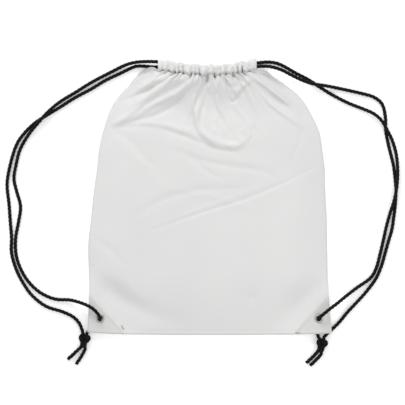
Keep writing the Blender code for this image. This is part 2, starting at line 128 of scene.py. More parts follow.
def softbox(name, place, side, power):
    """A square soft light, aimed at the middle of the bag."""
    lamp = bpy.data.lights.new(name, "AREA")
    lamp.size = side
    lamp.energy = power
    obj = bpy.data.objects.new(name, lamp)
    bpy.context.scene.collection.objects.link(obj)
    obj.location = place
    obj.rotation_euler = (-Vector(place)).to_track_quat("-Z", "Y").to_euler()


softbox("key_light", place=(-0.6, 2.1, 1.3), side=1.0, power=31.0)
softbox("fill_light", place=(0.9, -0.9, 1.2), side=1.2, power=5.5)

CAMERA_HEIGHT = 2.2
FIELD = 0.568                 # width of floor in view
VIEW_CENTRE = (-0.0097, -0.0067)

lens = bpy.data.cameras.new("camera")
lens.sensor_width = 36.0
lens.lens = lens.sensor_width * CAMERA_HEIGHT / FIELD
camera = bpy.data.objects.new("camera", lens)
bpy.context.scene.collection.objects.link(camera)
camera.location = (*VIEW_CENTRE, CAMERA_HEIGHT)
bpy.context.scene.camera = camera
bpy.context.scene.view_settings.view_transform = "Standard"

# ---------------------------------------------------------------------------------------------
# Shoulder cords
# Soft black polyester cord, 5.2 mm, of three plies laid together with a 17 mm pitch. Each leaves
# its casing, lies loosely on the floor, and ends at its corner's eyelet or in the knot.

CORD = 5.2 * MM
PLIES = 3
PITCH = 17.0 * MM
PRESSED = 1.15                # plies are that much fuller than if they only touched
PLY_RADIUS = CORD / 2 / (1 + 2 / math.sqrt(3)) * PRESSED
PLY_TURN = CORD / 2 - PLY_RADIUS                          # radius of a ply's helix
PLY_SIDES = 10
STEPS_PER_PITCH = 14
CURVE_STEPS = 24              # between two of a route's own points

# Each strand's route along its middle: places (x, y, z) in metres

LEFT_TO_EYELET = (
    (-0.0694, 0.1890, 0.0164), (-0.0840, 0.1896, 0.0156), (-0.1010, 0.1893, 0.0100),
    (-0.1170, 0.1858, 0.0052), (-0.1392, 0.1752, 0.0026), (-0.1650, 0.1616, 0.0026),
    (-0.1882, 0.1472, 0.0026), (-0.2080, 0.1350, 0.0038), (-0.2250, 0.1205, 0.0080),
    (-0.2400, 0.1040, 0.0074), (-0.2537, 0.0876, 0.0034), (-0.2650, 0.0680, 0.0026),
    (-0.2705, 0.0480, 0.0026), (-0.2738, 0.0270, 0.0026), (-0.2700, 0.0090, 0.0026),
    (-0.2646, -0.0120, 0.0026), (-0.2674, -0.0340, 0.0026), (-0.2714, -0.0560, 0.0026),
    (-0.2710, -0.0785, 0.0026), (-0.2647, -0.0990, 0.0026), (-0.2526, -0.1186, 0.0026),
    (-0.2360, -0.1335, 0.0026), (-0.2160, -0.1420, 0.0026), (-0.1960, -0.1430, 0.0048),
    (-0.1830, -0.1455, 0.0114), (-0.1710, -0.1495, 0.0166), (-0.1610, -0.1553, 0.0186),
    (-0.1548, -0.1622, 0.0186), (-0.1526, -0.1672, 0.0158), (-0.1525, -0.1685, 0.0128),
    (-0.1525, -0.1685, 0.0106),
)
LEFT_TO_KNOT_UPPER = (
    (-0.0693, 0.1830, 0.0036), (-0.0800, 0.1831, 0.0035), (-0.0920, 0.1843, 0.0028),
    (-0.1050, 0.1834, 0.0026), (-0.1247, 0.1742, 0.0026), (-0.1460, 0.1640, 0.0026),
    (-0.1656, 0.1522, 0.0026), (-0.1880, 0.1402, 0.0026), (-0.2080, 0.1276, 0.0026),
    (-0.2285, 0.1150, 0.0026), (-0.2440, 0.1050, 0.0026), (-0.2572, 0.0926, 0.0026),
    (-0.2688, 0.0770, 0.0026), (-0.2768, 0.0550, 0.0026), (-0.2826, 0.0285, 0.0026),
    (-0.2832, 0.0120, 0.0026),
)
LEFT_TO_KNOT_LOWER = (
    (-0.2832, 0.0120, 0.0026), (-0.2808, -0.0080, 0.0026), (-0.2790, -0.0330, 0.0026),
    (-0.2772, -0.0560, 0.0026), (-0.2774, -0.0760, 0.0026), (-0.2722, -0.0960, 0.0026),
    (-0.2635, -0.1150, 0.0026), (-0.2490, -0.1362, 0.0026), (-0.2290, -0.1520, 0.0026),
    (-0.2060, -0.1597, 0.0026), (-0.1915, -0.1665, 0.0028), (-0.1830, -0.1745, 0.0040),
    (-0.1790, -0.1826, 0.0052), (-0.1773, -0.1880, 0.0058),
)
RIGHT_TO_EYELET = (
    (0.0694, 0.1890, 0.0036), (0.0850, 0.1898, 0.0030), (0.1000, 0.1862, 0.0026),
    (0.1210, 0.1745, 0.0026), (0.1400, 0.1645, 0.0026), (0.1570, 0.1533, 0.0026),
    (0.1740, 0.1430, 0.0026), (0.1940, 0.1328, 0.0026), (0.2140, 0.1248, 0.0030),
    (0.2290, 0.1180, 0.0060), (0.2405, 0.1078, 0.0082), (0.2490, 0.0935, 0.0074),
    (0.2565, 0.0790, 0.0038), (0.2615, 0.0610, 0.0036), (0.2631, 0.0430, 0.0066),
    (0.2628, 0.0270, 0.0083), (0.2612, 0.0110, 0.0084), (0.2575, -0.0060, 0.0080),
    (0.2528, -0.0220, 0.0040), (0.2480, -0.0400, 0.0026), (0.2435, -0.0600, 0.0026),
    (0.2388, -0.0800, 0.0026), (0.2335, -0.0990, 0.0026), (0.2250, -0.1130, 0.0026),
    (0.2060, -0.1265, 0.0030), (0.1900, -0.1385, 0.0070), (0.1780, -0.1475, 0.0136),
    (0.1680, -0.1545, 0.0178), (0.1590, -0.1615, 0.0192), (0.1535, -0.1665, 0.0168),
    (0.1525, -0.1685, 0.0128), (0.1525, -0.1685, 0.0106),
)
RIGHT_TO_KNOT_UPPER = (
    (0.0693, 0.1830, 0.0164), (0.0840, 0.1826, 0.0155), (0.1000, 0.1785, 0.0108),
    (0.1150, 0.1712, 0.0086), (0.1300, 0.1640, 0.0086), (0.1450, 0.1590, 0.0086),
    (0.1600, 0.1568, 0.0074), (0.1760, 0.1542, 0.0032), (0.1950, 0.1502, 0.0026),
    (0.2140, 0.1458, 0.0026), (0.2300, 0.1410, 0.0026), (0.2420, 0.1310, 0.0026),
    (0.2465, 0.1130, 0.0026), (0.2470, 0.0940, 0.0026), (0.2505, 0.0750, 0.0026),
    (0.2550, 0.0570, 0.0026), (0.2580, 0.0440, 0.0026),
)
RIGHT_TO_KNOT_LOWER = (
    (0.2580, 0.0440, 0.0026), (0.2600, 0.0280, 0.0026), (0.2614, 0.0090, 0.0026),
    (0.2604, -0.0090, 0.0026), (0.2583, -0.0270, 0.0026), (0.2555, -0.0450, 0.0026),
    (0.2505, -0.0620, 0.0026), (0.2455, -0.0800, 0.0026), (0.2405, -0.0970, 0.0026),
    (0.2325, -0.1145, 0.0026), (0.2190, -0.1325, 0.0026), (0.2050, -0.1480, 0.0026),
    (0.1930, -0.1608, 0.0026), (0.1835, -0.1725, 0.0028), (0.1745, -0.1818, 0.0028),
    (0.1668, -0.1887, 0.0030), (0.1610, -0.1947, 0.0044),
)

# Spun polyester: matt black with a faint grey sheen where the filaments catch the light, and a
# painted
# highlight: the base colour is lighter on the ridges of the filament bundles and darker in the
# grooves.
cord_polyester, tree, shader = new_material(
    "black_polyester_cord",
    {"Roughness": 0.6, "Specular IOR Level": 0.12, "Sheen Weight": 0.03, "Sheen Roughness": 0.4},
)
FILAMENTS_ROUND = 9.0         # bundles seen round one ply, drawn coarser than real filaments
FILAMENT_TURNS = 170.0        # their own twist, in turns per metre
lay = node(tree, "ShaderNodeAttribute", {"attribute_name": "lay"})
split = node(tree, "ShaderNodeSeparateXYZ", Vector=lay.outputs["Vector"])
twist = node(tree, "ShaderNodeMath", {"operation": "MULTIPLY_ADD", 1: FILAMENT_TURNS})
tree.links.new(split.outputs["Y"], twist.inputs[0])
tree.links.new(split.outputs["X"], twist.inputs[2])
turns = node(tree, "ShaderNodeMath", {"operation": "MULTIPLY", 1: 2 * math.pi * FILAMENTS_ROUND})
tree.links.new(twist.outputs[0], turns.inputs[0])
ridge = node(tree, "ShaderNodeMath", {"operation": "SINE"})
tree.links.new(turns.outputs[0], ridge.inputs[0])
where = node(tree, "ShaderNodeTexCoord")
fluff = node(
    tree, "ShaderNodeTexNoise", {"Scale": 900.0, "Detail": 3.0}, Vector=where.outputs["Object"]
)
height = node(tree, "ShaderNodeMath", {"operation": "MULTIPLY_ADD", 1: 0.5})
tree.links.new(ridge.outputs[0], height.inputs[0])
tree.links.new(fluff.outputs["Fac"], height.inputs[2])
bump = node(
    tree, "ShaderNodeBump", {"Strength": 0.6, "Distance": 0.15 * MM}, Height=height.outputs[0]
)
tree.links.new(bump.outputs["Normal"], shader.inputs["Normal"])
# Painted highlight and shade: the colour is lighter on the filament ridges and darker in the
# grooves between them, mottled by fluff.
shade = node(
    tree, "ShaderNodeMapRange", {"From Min": -0.3, "From Max": 1.4}, Value=height.outputs[0]
)
tint = node(tree, "ShaderNodeMix", {"data_type": "RGBA"})
tint.inputs["A"].default_value = linear("#040405")
tint.inputs["B"].default_value = linear("#161617")
tree.links.new(shade.outputs["Result"], tint.inputs["Factor"])
tree.links.new(tint.outputs["Result"], shader.inputs["Base Color"])


def smooth_route(points, step, low=None):
    """Even points, a step apart, on a smooth curve through the route's own points."""
    route = np.array(points, float)
    padded = np.vstack([2 * route[0] - route[1], route, 2 * route[-1] - route[-2]])
    fine = []
    for before, start, end, after in zip(padded, padded[1:], padded[2:], padded[3:]):
        for t in np.linspace(0.0, 1.0, CURVE_STEPS, endpoint=False):
            fine.append(0.5 * (2 * start + (end - before) * t
                               + (2 * before - 5 * start + 4 * end - after) * t**2
                               + (3 * start - before - 3 * end + after) * t**3))
    fine = np.array(fine + [route[-1]])
    travelled = np.concatenate([[0.0], np.cumsum(np.linalg.norm(np.diff(fine, axis=0), axis=1))])
    count = max(int(round(travelled[-1] / step)), 2)
    at = np.linspace(0.0, travelled[-1], count + 1)
    even = np.column_stack([np.interp(at, travelled, column) for column in fine.T])
    if low is not None:
        even[:, 2] = np.maximum(even[:, 2], low)
    return even


def across_path(path):
    """Two unit vectors across each point of a path, which turn with it and don't twist."""
    tangents = np.gradient(path, axis=0)
    tangents /= np.linalg.norm(tangents, axis=1)[:, None]
    upright = abs(tangents[0][2]) > 0.9
    side = np.cross(tangents[0], (1.0, 0.0, 0.0) if upright else (0.0, 0.0, 1.0))
    sides = []
    for tangent in tangents:
        side = side - tangent * (side @ tangent)
        side = side / np.linalg.norm(side)
        sides.append(side)
    sides = np.array(sides)
    return sides, np.cross(tangents, sides)


def rope(name, path, first=0, last=None, thickness=CORD):
    """Three plies laid round part of a path, as one mesh. Its attribute lay holds turns round a ply
    and metres along it."""
    along = np.concatenate([[0.0], np.cumsum(np.linalg.norm(np.diff(path, axis=0), axis=1))])
    sides, ups = across_path(path)
    part = slice(first, last)
    along, places, sides, ups = along[part], path[part], sides[part], ups[part]
    grow = thickness / CORD
    whole = bmesh.new()
    for ply in range(PLIES):
        turn = 2 * math.pi * (along / PITCH + ply / PLIES)
        offsets = np.cos(turn)[:, None] * sides + np.sin(turn)[:, None] * ups
        curve = bpy.data.curves.new("ply", "CURVE")
        curve.dimensions = "3D"
        curve.bevel_depth = grow * PLY_RADIUS
        curve.bevel_resolution = PLY_SIDES // 2 - 2
        curve.use_fill_caps = True
        spline = curve.splines.new("POLY")
        spline.points.add(len(places) - 1)
        ply_places = places + grow * PLY_TURN * offsets
        spline.points.foreach_set("co", np.column_stack([ply_places, np.ones(len(places))]).ravel())
        holder = bpy.data.objects.new("ply", curve)
        mesh = bpy.data.meshes.new_from_object(holder)
        ring = len(mesh.vertices) // len(places)
        loose = bmesh.new()
        loose.from_mesh(mesh)
        lay_layer = loose.verts.layers.float_vector.new("lay")
        for i, vert in enumerate(loose.verts):
            step = min(i // ring, len(along) - 1)
            vert[lay_layer] = (i % ring / ring + ply / PLIES, along[step], 0.0)
        bmesh.ops.remove_doubles(loose, verts=loose.verts[:], dist=0.001 * MM)
        bmesh.ops.recalc_face_normals(loose, faces=loose.faces[:])
        loose.to_mesh(mesh)
        loose.free()
        whole.from_mesh(mesh)
        bpy.data.objects.remove(holder)
        bpy.data.meshes.remove(mesh)
        bpy.data.curves.remove(curve)
    return add_mesh(name, whole, cord_polyester)


ROPE_STEP = PITCH / STEPS_PER_PITCH
ON_FLOOR = CORD / 2 + 0.05 * MM      # height of the middle of a cord that lies on the floor

KNOT_MIDDLE = {}
for word in ("left", "right"):
    low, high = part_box(f"{word}_knot")
    KNOT_MIDDLE[word] = (np.array(low) + np.array(high)) / 2


def into_knot(word, place, share=0.6):
    """A place that share of the way from a strand's end to the middle of its knot."""
    return tuple(np.array(place) + share * (KNOT_MIDDLE[word] - np.array(place)))


straps = {}
for word, to_eyelet, upper, lower in (
    ("left", LEFT_TO_EYELET, LEFT_TO_KNOT_UPPER, LEFT_TO_KNOT_LOWER),
    ("right", RIGHT_TO_EYELET, RIGHT_TO_KNOT_UPPER, RIGHT_TO_KNOT_LOWER),
):
    path = smooth_route(to_eyelet, ROPE_STEP, ON_FLOOR)
    piece = rope(f"{word}_strap_to_eyelet", path)
    straps[word, "to_eyelet"] = (piece, path, "object")
    inside = into_knot(word, lower[-1])
    path = smooth_route(upper + lower[1:] + (inside,), ROPE_STEP, ON_FLOOR)
    joint = int(np.argmin(np.linalg.norm(path - np.array(lower[0]), axis=1)))
    piece = rope(f"{word}_strap_upper", path, 0, joint + 1)
    straps[word, "upper"] = (piece, path[:joint + 1], "object")
    piece = rope(f"{word}_strap_lower", path, joint)
    straps[word, "lower"] = (piece, path[joint:], "knot")
    for part_word in ("to_eyelet", "upper"):
        piece, path, _ = straps[word, part_word]
        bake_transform(piece)
    piece, path, _ = straps[word, "lower"]
    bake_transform(piece)

# ---------------------------------------------------------------------------------------------
# Knots, loops and tails
# Under each corner the strand that came down through the eyelet meets the other one, and both
# are tied in one doubled overhand knot. The ends below it are cut and melted so they don't fray.

LEFT_EYELET_LOOP = (
    (-0.1524, -0.1683, 0.0103), (-0.1523, -0.1682, 0.0064), (-0.1529, -0.1691, 0.0041),
    (-0.1552, -0.1720, 0.0028), (-0.1590, -0.1772, 0.0027), (-0.1645, -0.1842, 0.0027),
    (-0.1682, -0.1868, 0.0032), (-0.1704, -0.1880, 0.0040),
)
RIGHT_EYELET_LOOP = (
    (0.1525, -0.1684, 0.0103), (0.1525, -0.1682, 0.0064), (0.1524, -0.1692, 0.0041),
    (0.1518, -0.1726, 0.0028), (0.1506, -0.1790, 0.0027), (0.1502, -0.1860, 0.0028),
    (0.1515, -0.1920, 0.0038), (0.1532, -0.1959, 0.0050),
)
LEFT_TAILS = (
    ((-0.1802, -0.2092, 0.0044), (-0.1858, -0.2146, 0.0030), (-0.1920, -0.2206, 0.0027),
     (-0.1984, -0.2262, 0.0027)),
    ((-0.1740, -0.2113, 0.0044), (-0.1770, -0.2180, 0.0030), (-0.1815, -0.2256, 0.0027),
     (-0.1868, -0.2330, 0.0027)),
)
RIGHT_TAILS = (
    ((0.1512, -0.2156, 0.0044), (0.1466, -0.2210, 0.0030), (0.1414, -0.2262, 0.0027),
     (0.1358, -0.2314, 0.0027)),
    ((0.1565, -0.2182, 0.0044), (0.1524, -0.2240, 0.0030), (0.1470, -0.2296, 0.0027),
     (0.1412, -0.2350, 0.0027)),
)
KNOT_LEAN = {"left": math.radians(-12), "right": math.radians(-14)}
KNOT_CORD = 4.6 * MM                # each turn is pulled a little thinner
KNOT_REACH = {"inner": 1.75 * MM, "outer": 2.75 * MM}   # scale of each strand's loop
KNOT_STRETCH = (0.82, 1.14, 1.05)    # longer along the strands than across
KNOT_STEPS = 150


def knot_path(reach, lean, middle):
    """A closed overhand loop about a middle, leaning about the vertical."""
    t = np.linspace(0.0, 2 * math.pi, KNOT_STEPS + 1)
    x = KNOT_STRETCH[0] * reach * (np.sin(t) + 2 * np.sin(2 * t))
    y = KNOT_STRETCH[1] * reach * (np.cos(t) - 2 * np.cos(2 * t))
    z = -KNOT_STRETCH[2] * KNOT_REACH["outer"] * np.sin(3 * t)
    turned_x = math.cos(lean) * x - math.sin(lean) * y
    turned_y = math.sin(lean) * x + math.cos(lean) * y
    return np.column_stack([turned_x, turned_y, z]) + middle


for word, loop, tails in (
    ("left", LEFT_EYELET_LOOP, LEFT_TAILS), ("right", RIGHT_EYELET_LOOP, RIGHT_TAILS),
):
    bundle = bmesh.new()
    for reach in KNOT_REACH.values():
        path = knot_path(reach, KNOT_LEAN[word], KNOT_MIDDLE[word])
        strand = rope("strand", path, thickness=KNOT_CORD)
        bundle.from_mesh(strand.data)
        bpy.data.objects.remove(strand)
    knot = add_mesh(f"{word}_overhand_knot", bundle, cord_polyester)
    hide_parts(f"{word}_knot")
    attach(knot, f"{word}_knot_end")

    path = smooth_route(loop + (into_knot(word, loop[-1]),), ROPE_STEP / 2, ON_FLOOR)
    piece = rope(f"{word}_cord_through_eyelet", path)
    straps[word, "loop"] = (piece, path, "knot")
    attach(piece, f"{word}_knot_end")
    for number, tail in enumerate(tails, start=1):
        path = smooth_route((into_knot(word, tail[0]),) + tail, ROPE_STEP / 2, ON_FLOOR)
        piece = rope(f"{word}_tail_{number}", path)
        straps[word, f"tail_{number}"] = (piece, path, "bare")
        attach(piece, f"{word}_knot_end")

CAD_NAMES = {
    "to_eyelet": "shoulder_cord_to_eyelet", "upper": "shoulder_cord_upper",
    "lower": "shoulder_cord_lower", "loop": "eyelet_loop", "tail_1": "cord_tail_1",
    "tail_2": "cord_tail_2",
}
for (word, part_word), (piece, path, far_end) in straps.items():
    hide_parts(f"{word}_{CAD_NAMES[part_word]}")
    if far_end == "bare":
        continue              # a tail is part of its knot

# ---------------------------------------------------------------------------------------------
# Drawcords in the mouth
# Each cord is one loop through both casings: in at its own side, round the far end and back.
# Pulled tight, the cloth drags the middle of both runs a little towards the bag.

MOUTH_DIP = 7.0 * MM
CASING_END_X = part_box("front_casing")[1][0]
TURN_IN = {"left": 14 * MM, "right": 8 * MM}     # how far inside the casing's end it turns back
TURN_STEPS = 16
RUN_POINTS = 60


def dip(x):
    """How far the mouth's middle is drawn towards the bag."""
    return MOUTH_DIP * (1 - np.minimum(np.abs(x) / CASING_END_X, 1.0) ** 2)


casing_z = {}
for word in ("front", "back"):
    low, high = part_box(f"{word}_casing")
    casing_z[word] = (low[2] + high[2]) / 2

for word, side in (("left", -1), ("right", 1)):
    outer = straps[word, "to_eyelet"][1][0]
    inner = straps[word, "upper"][1][0]
    over, under = (outer, inner) if outer[2] > inner[2] else (inner, outer)
    reach = side * np.linspace(CASING_END_X, TURN_IN[word] - CASING_END_X, RUN_POINTS)
    run = np.column_stack([reach, over[1] - dip(reach), np.full(RUN_POINTS, over[2])])
    middle = (over[1:] + under[1:]) / 2
    half = (over[1:] - under[1:]) / 2
    turn = np.linspace(0.0, math.pi, TURN_STEPS + 1)[1:-1]
    bend = np.column_stack([
        reach[-1] - side * np.linalg.norm(half) * np.sin(turn),
        middle[0] - dip(reach[-1]) + half[0] * np.cos(turn), middle[1] + half[1] * np.cos(turn),
    ])
    reach = reach[::-1]
    run_back = np.column_stack([reach, under[1] - dip(reach), np.full(RUN_POINTS, under[2])])
    path = smooth_route(np.vstack([run, bend, run_back]), ROPE_STEP)
    piece = rope(f"{word}_drawcord_in_casings", path)
    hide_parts(f"{word}_drawcord_run")
    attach(piece, f"{word}_drawcord")

# ---------------------------------------------------------------------------------------------
# Bag panels
# Two panels of plain-woven white polyester, coated inside, cut square and gathered at the top to
# two fifths of their width. Each is simulated from its flat cut, held along its seams.

CUT_WIDTH = 0.340
CUT_LENGTH = 0.400            # bottom hem to the casing's stitch line
CLOTH = 0.35 * MM             # thickness, a little over the real 0.2 mm, so that edges show
COLUMNS = 112
ROWS = 104
PLEATS = 17
FRONT_PLEAT = 4.4 * MM        # height of a pleat; the back's are shallower, held by the floor
PLEAT_DEPTH = {"front": FRONT_PLEAT, "back": 0.6 * FRONT_PLEAT}
PLEAT_FADE = 17 * MM          # length over which a pleat opens out below the stitch line
SLIT = 0.040                  # open side slit below the casings
SIM_SCALE = 10.0              # Blender's cloth behaves better on a larger model
SIM_FRAMES = 34
SEAM_Z = {"front": 1.25 * MM, "back": 0.6 * MM}       # height of each panel's sewn edge
LOFT = {"front": 2.0 * MM, "back": 0.0}               # and how far above it the panel lies
INNER_Z = {"front": 2.8 * MM, "back": 0.4 * MM}       # height round an eyelet, between the patches
LOFT_RAMP = 0.020             # distances from the sewn edge and the stitch line where it rises
MOUTH_SIDE_RAMP = 0.028
MOUTH_RAMP = 0.095
LOWEST_CLOTH = {"panel": 0.5 * MM, "casing": 0.25 * MM}      # height above the floor
EYELET_HELD = 10 * MM         # cloth held still round an eyelet's middle
PANEL_HOLE = 4.3 * MM         # radius of the hole punched for the eyelet

panel_low, panel_high = (Vector(corner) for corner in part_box("back_panel"))
STITCH_RISE = 9.1 * MM         # the stitch line's middle above the casing's lowest edge
STITCH_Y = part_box("front_casing")[0][1]
MOUTH_Y = STITCH_Y + STITCH_RISE - MOUTH_DIP
EYELETS = {
    word: (Vector(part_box(f"{word}_eyelet")[0]) + Vector(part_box(f"{word}_eyelet")[1])) / 2
    for word in ("left", "right")
}
HEM_RISE = 0.9 * MM            # the cloth's edge inside the sewn edge, at the middle of the hem
CORNER_LIFT = 7.5 * MM
CORNER_FLAT = 33 * MM
CORNER_RAMP = 65 * MM
CORNER_RISE = panel_low.y + 6 * MM

# Each side's gathered edge, from the bottom corner round the shoulder to the casing's end:
# (distance in from the widest point, distance up from the bottom hem), in millimetres
SIDE_EDGES = {
    "left": (
        (0.5, 5), (3.0, 60), (1.2, 123), (4.8, 160), (10, 208), (13.5, 232), (16, 257), (21, 281),
        (30, 310), (37.5, 325), (49, 340), (58, 349), (66, 360), (78, 371), (90, 375), (99, 370),
    ),
    "right": (
        (0.5, 4), (4.7, 60), (6, 123), (6.5, 160), (9, 208), (9.5, 232), (12.5, 257), (16, 281),
        (21.5, 296), (29, 310), (37.5, 325), (50, 339), (62, 348), (78, 360), (93, 371), (105, 370),
    ),
}


def side_edge(word, share):
    """Places (x, y) on a side's edge, at these shares of its length from the bottom corner."""
    side = -1 if word == "left" else 1
    points = [
        (side * (panel_high.x - inset * MM), panel_low.y + up * MM)
        for inset, up in SIDE_EDGES[word]
    ]
    line = smooth_route(points, 1 * MM)
    at = np.linspace(0.0, 1.0, len(line))
    return np.interp(share, at, line[:, 0]), np.interp(share, at, line[:, 1])


def smooth_step(value):
    """Eases from 0 to 1 as the value does, and stays there beyond."""
    t = np.clip(value, 0.0, 1.0)
    return t * t * (3 - 2 * t)


def lift(x, y):
    """The corners lie raised, on the cords that pass under them."""
    corner = np.hypot(np.abs(x) - panel_high.x, y - CORNER_RISE)
    return CORNER_LIFT * (1 - smooth_step((corner - CORNER_FLAT) / CORNER_RAMP))


def pleat_phase(across):
    """Turns of the pleats at a share across the mouth, from 0 to 1. No two pleats are alike."""
    widths = np.random.default_rng(11).uniform(0.6, 1.4, PLEATS)
    ends = np.concatenate([[0.0], np.cumsum(widths)]) / widths.sum()
    return np.interp(across, ends, np.arange(PLEATS + 1))


def pleat_height(across):
    """Rounded ridges with narrow valleys, from -1 to 1, lower near the mouth's ends."""
    turns = pleat_phase(across)
    ridge = 2 * np.abs(np.sin(math.pi * turns)) ** 0.75 - 1
    size = 0.75 + 0.25 * np.sin(2.3 * np.floor(turns) + 1.0)
    from_end = np.minimum(across, 1 - across)
    return ridge * size * np.clip(0.3 + from_end / 0.13, 0.3, 1.0)


def mouth_wave(x):
    """Small unevenness of the stitch line along the mouth."""
    return 0.9 * MM * np.sin(310 * x + 1.0) + 0.6 * MM * np.sin(730 * x)


# Folds that the drawn mouth throws across the front: three places, width and height, in mm
FRONT_FOLDS = (
    ((-46, 168), (-90, 164), (-132, 134), 8, 8), ((-34, 166), (-74, 146), (-134, 119), 6, 4),
    ((-18, 164), (-54, 130), (-136, 108), 8, 8), ((-140, 104), (-56, 106), (34, 70), 7, 4.5),
    ((-14, 160), (-34, 112), (2, 79), 6, 6), ((2, 78), (54, 52), (64, 104), 6, 4.5),
    ((64, 104), (66, 132), (48, 160), 6, 3.5), ((12, 166), (4, 122), (42, 80), 6, 4.5),
    ((26, 168), (30, 130), (54, 162), 5, 4), ((58, 168), (86, 148), (150, 110), 8, 6),
    ((-50, 62), (40, 48), (100, 24), 8, 3.5), ((-108, -10), (-30, 16), (66, 20), 9, 2.5),
    ((162, 52), (62, 8), (-90, -43), 4, 1.4), ((-142, 84), (-100, 52), (-60, 30), 8, 2.5),
    ((130, 106), (124, 82), (110, 52), 7, 2.2), ((88, 160), (100, 132), (150, 92), 7, 3),
)
BACK_FOLDS = (
    ((-40, 165), (-86, 140), (-136, 96), 8, 5), ((38, 165), (80, 132), (146, 96), 8, 5),
    ((-6, 160), (-20, 110), (24, 60), 8, 4), ((120, -30), (20, 0), (-110, 24), 8, 2.5),
)


def fold_height(x, y, folds):
    """Height of soft folds at places: each is a ridge along a curve, tapered at its ends."""
    total = np.zeros_like(x)
    t = np.linspace(0.0, 1.0, 40)
    for start, bend, end, width, height in folds:
        line = [
            (1 - t) ** 2 * a + 2 * t * (1 - t) * b + t**2 * c for a, b, c in zip(start, bend, end)
        ]
        away = np.hypot(x[:, None] / MM - line[0], y[:, None] / MM - line[1])
        nearest = away.argmin(axis=1)
        taper = np.sin(math.pi * np.clip(0.12 + 0.76 * t[nearest], 0.0, 1.0))
        total += height * MM * taper * np.exp(-(away.min(axis=1) / width) ** 2)
    return total


def cloth_grid(columns, rows):
    """A flat grid with each point's shares across and along it."""
    bm = bmesh.new()
    bmesh.ops.create_grid(bm, x_segments=columns, y_segments=rows, size=0.5)
    shares = np.array([vert.co[:] for vert in bm.verts])[:, :2] + 0.5
    return bm, shares[:, 0], shares[:, 1]


def panel_places(word, across, along):
    """A panel's gathered start, before it is simulated."""
    left_x, left_y = side_edge("left", along)
    right_x, right_y = side_edge("right", along)
    out = np.abs(2 * across - 1)
    x = left_x + (right_x - left_x) * across
    edge_y = np.where(across < 0.5, left_y, right_y)
    bottom_y = panel_low.y + HEM_RISE
    middle_y = bottom_y + (MOUTH_Y - bottom_y) * along
    y = middle_y + (edge_y - middle_y) * out ** (3 - along**6)
    below = (1 - along) * CUT_LENGTH
    y += mouth_wave(x) * np.exp(-below / PLEAT_FADE)
    from_edge = np.minimum(across, 1 - across) * CUT_WIDTH
    rise = smooth_step(1 - below / MOUTH_RAMP) * smooth_step(from_edge / MOUTH_SIDE_RAMP)
    slit_rise = smooth_step(1 - below / SLIT) ** 2
    rise = np.maximum(rise, slit_rise)
    inside = smooth_step(from_edge / LOFT_RAMP)
    z = SEAM_Z[word] + LOFT[word] * inside
    z = z + (casing_z[word] - z) * rise
    z += PLEAT_DEPTH[word] * pleat_height(across) * np.exp(-below / PLEAT_FADE)
    folds = FRONT_FOLDS if word == "front" else BACK_FOLDS
    z += fold_height(x, y, folds) * inside
    z += lift(x, y)
    return np.column_stack([x, y, np.maximum(z, LOWEST_CLOTH["panel"])])


# White polyester taffeta: a tight plain weave with a soft dull shine, and faint uneven tone.
WEAVE = 0.8 * MM              # thread spacing, drawn about three times coarser than real
taffeta, tree, shader = new_material(
    "white_polyester_taffeta",
    {"Roughness": 0.58, "Specular IOR Level": 0.4, "Sheen Weight": 0.12, "Sheen Roughness": 0.35},
)
cut_map = node(tree, "ShaderNodeUVMap", {"uv_map": "cut"})
threads = []
for direction in ("X", "Y"):
    threads.append(node(
        tree, "ShaderNodeTexWave",
        {"wave_type": "BANDS", "bands_direction": direction, "Scale": 1 / (WEAVE * 20) * math.pi,
         "Distortion": 0.6, "Detail": 1.0},
        Vector=cut_map.outputs["UV"],
    ))
weave = node(tree, "ShaderNodeMath", {"operation": "MULTIPLY"})
tree.links.new(threads[0].outputs["Fac"], weave.inputs[0])
tree.links.new(threads[1].outputs["Fac"], weave.inputs[1])
bump = node(
    tree, "ShaderNodeBump", {"Strength": 0.25, "Distance": 0.08 * MM}, Height=weave.outputs[0]
)
where = node(tree, "ShaderNodeTexCoord")
cloud = node(
    tree, "ShaderNodeTexNoise", {"Scale": 14.0, "Detail": 3.0}, Vector=where.outputs["Object"]
)
ripple = node(
    tree, "ShaderNodeTexNoise", {"Scale": 60.0, "Detail": 4.0}, Vector=where.outputs["Object"]
)
soft = node(
    tree, "ShaderNodeBump", {"Strength": 0.2, "Distance": 0.8 * MM},
    Height=ripple.outputs["Fac"], Normal=bump.outputs["Normal"],
)
tree.links.new(soft.outputs["Normal"], shader.inputs["Normal"])
tint = node(tree, "ShaderNodeMix", {"data_type": "RGBA"}, Factor=cloud.outputs["Fac"])
tint.inputs["A"].default_value = linear("#D6D6D6")
tint.inputs["B"].default_value = linear("#DEDEDD")
tree.links.new(tint.outputs["Result"], shader.inputs["Base Color"])


def add_cut_map(mesh, across, along, width, length):
    """The flat cut, in metres, as the map that the weave follows."""
    layer = mesh.uv_layers.new(name="cut")
    corners = np.empty(len(mesh.loops), np.int32)
    mesh.loops.foreach_get("vertex_index", corners)
    flat = np.column_stack([across * width, along * length])[corners]
    layer.data.foreach_set("uv", flat.ravel())


# Air left in the bag keeps the front domed. It falls away towards the bottom hem and the sides.
DOME = 10 * MM
DOME_BOTTOM = 95 * MM
DOME_SIDE = 60 * MM
DOME_MOUTH = 0.110
CORNER_CLEAR = 45 * MM         # no dome this near a corner
CORNER_EASE = 50 * MM
CREASE_INSET = 0.018           # creases fade this near the sewn edges, and this near the casing
CREASE_MOUTH = 0.008
SEAM_PUCKER = 0.4 * MM         # depth, pitch and place of the puckers along the sewn edges
SEAM_PUCKER_PITCH = 11 * MM
SEAM_PUCKER_INSET = 5 * MM
SEAM_PUCKER_WIDTH = 1.6 * MM

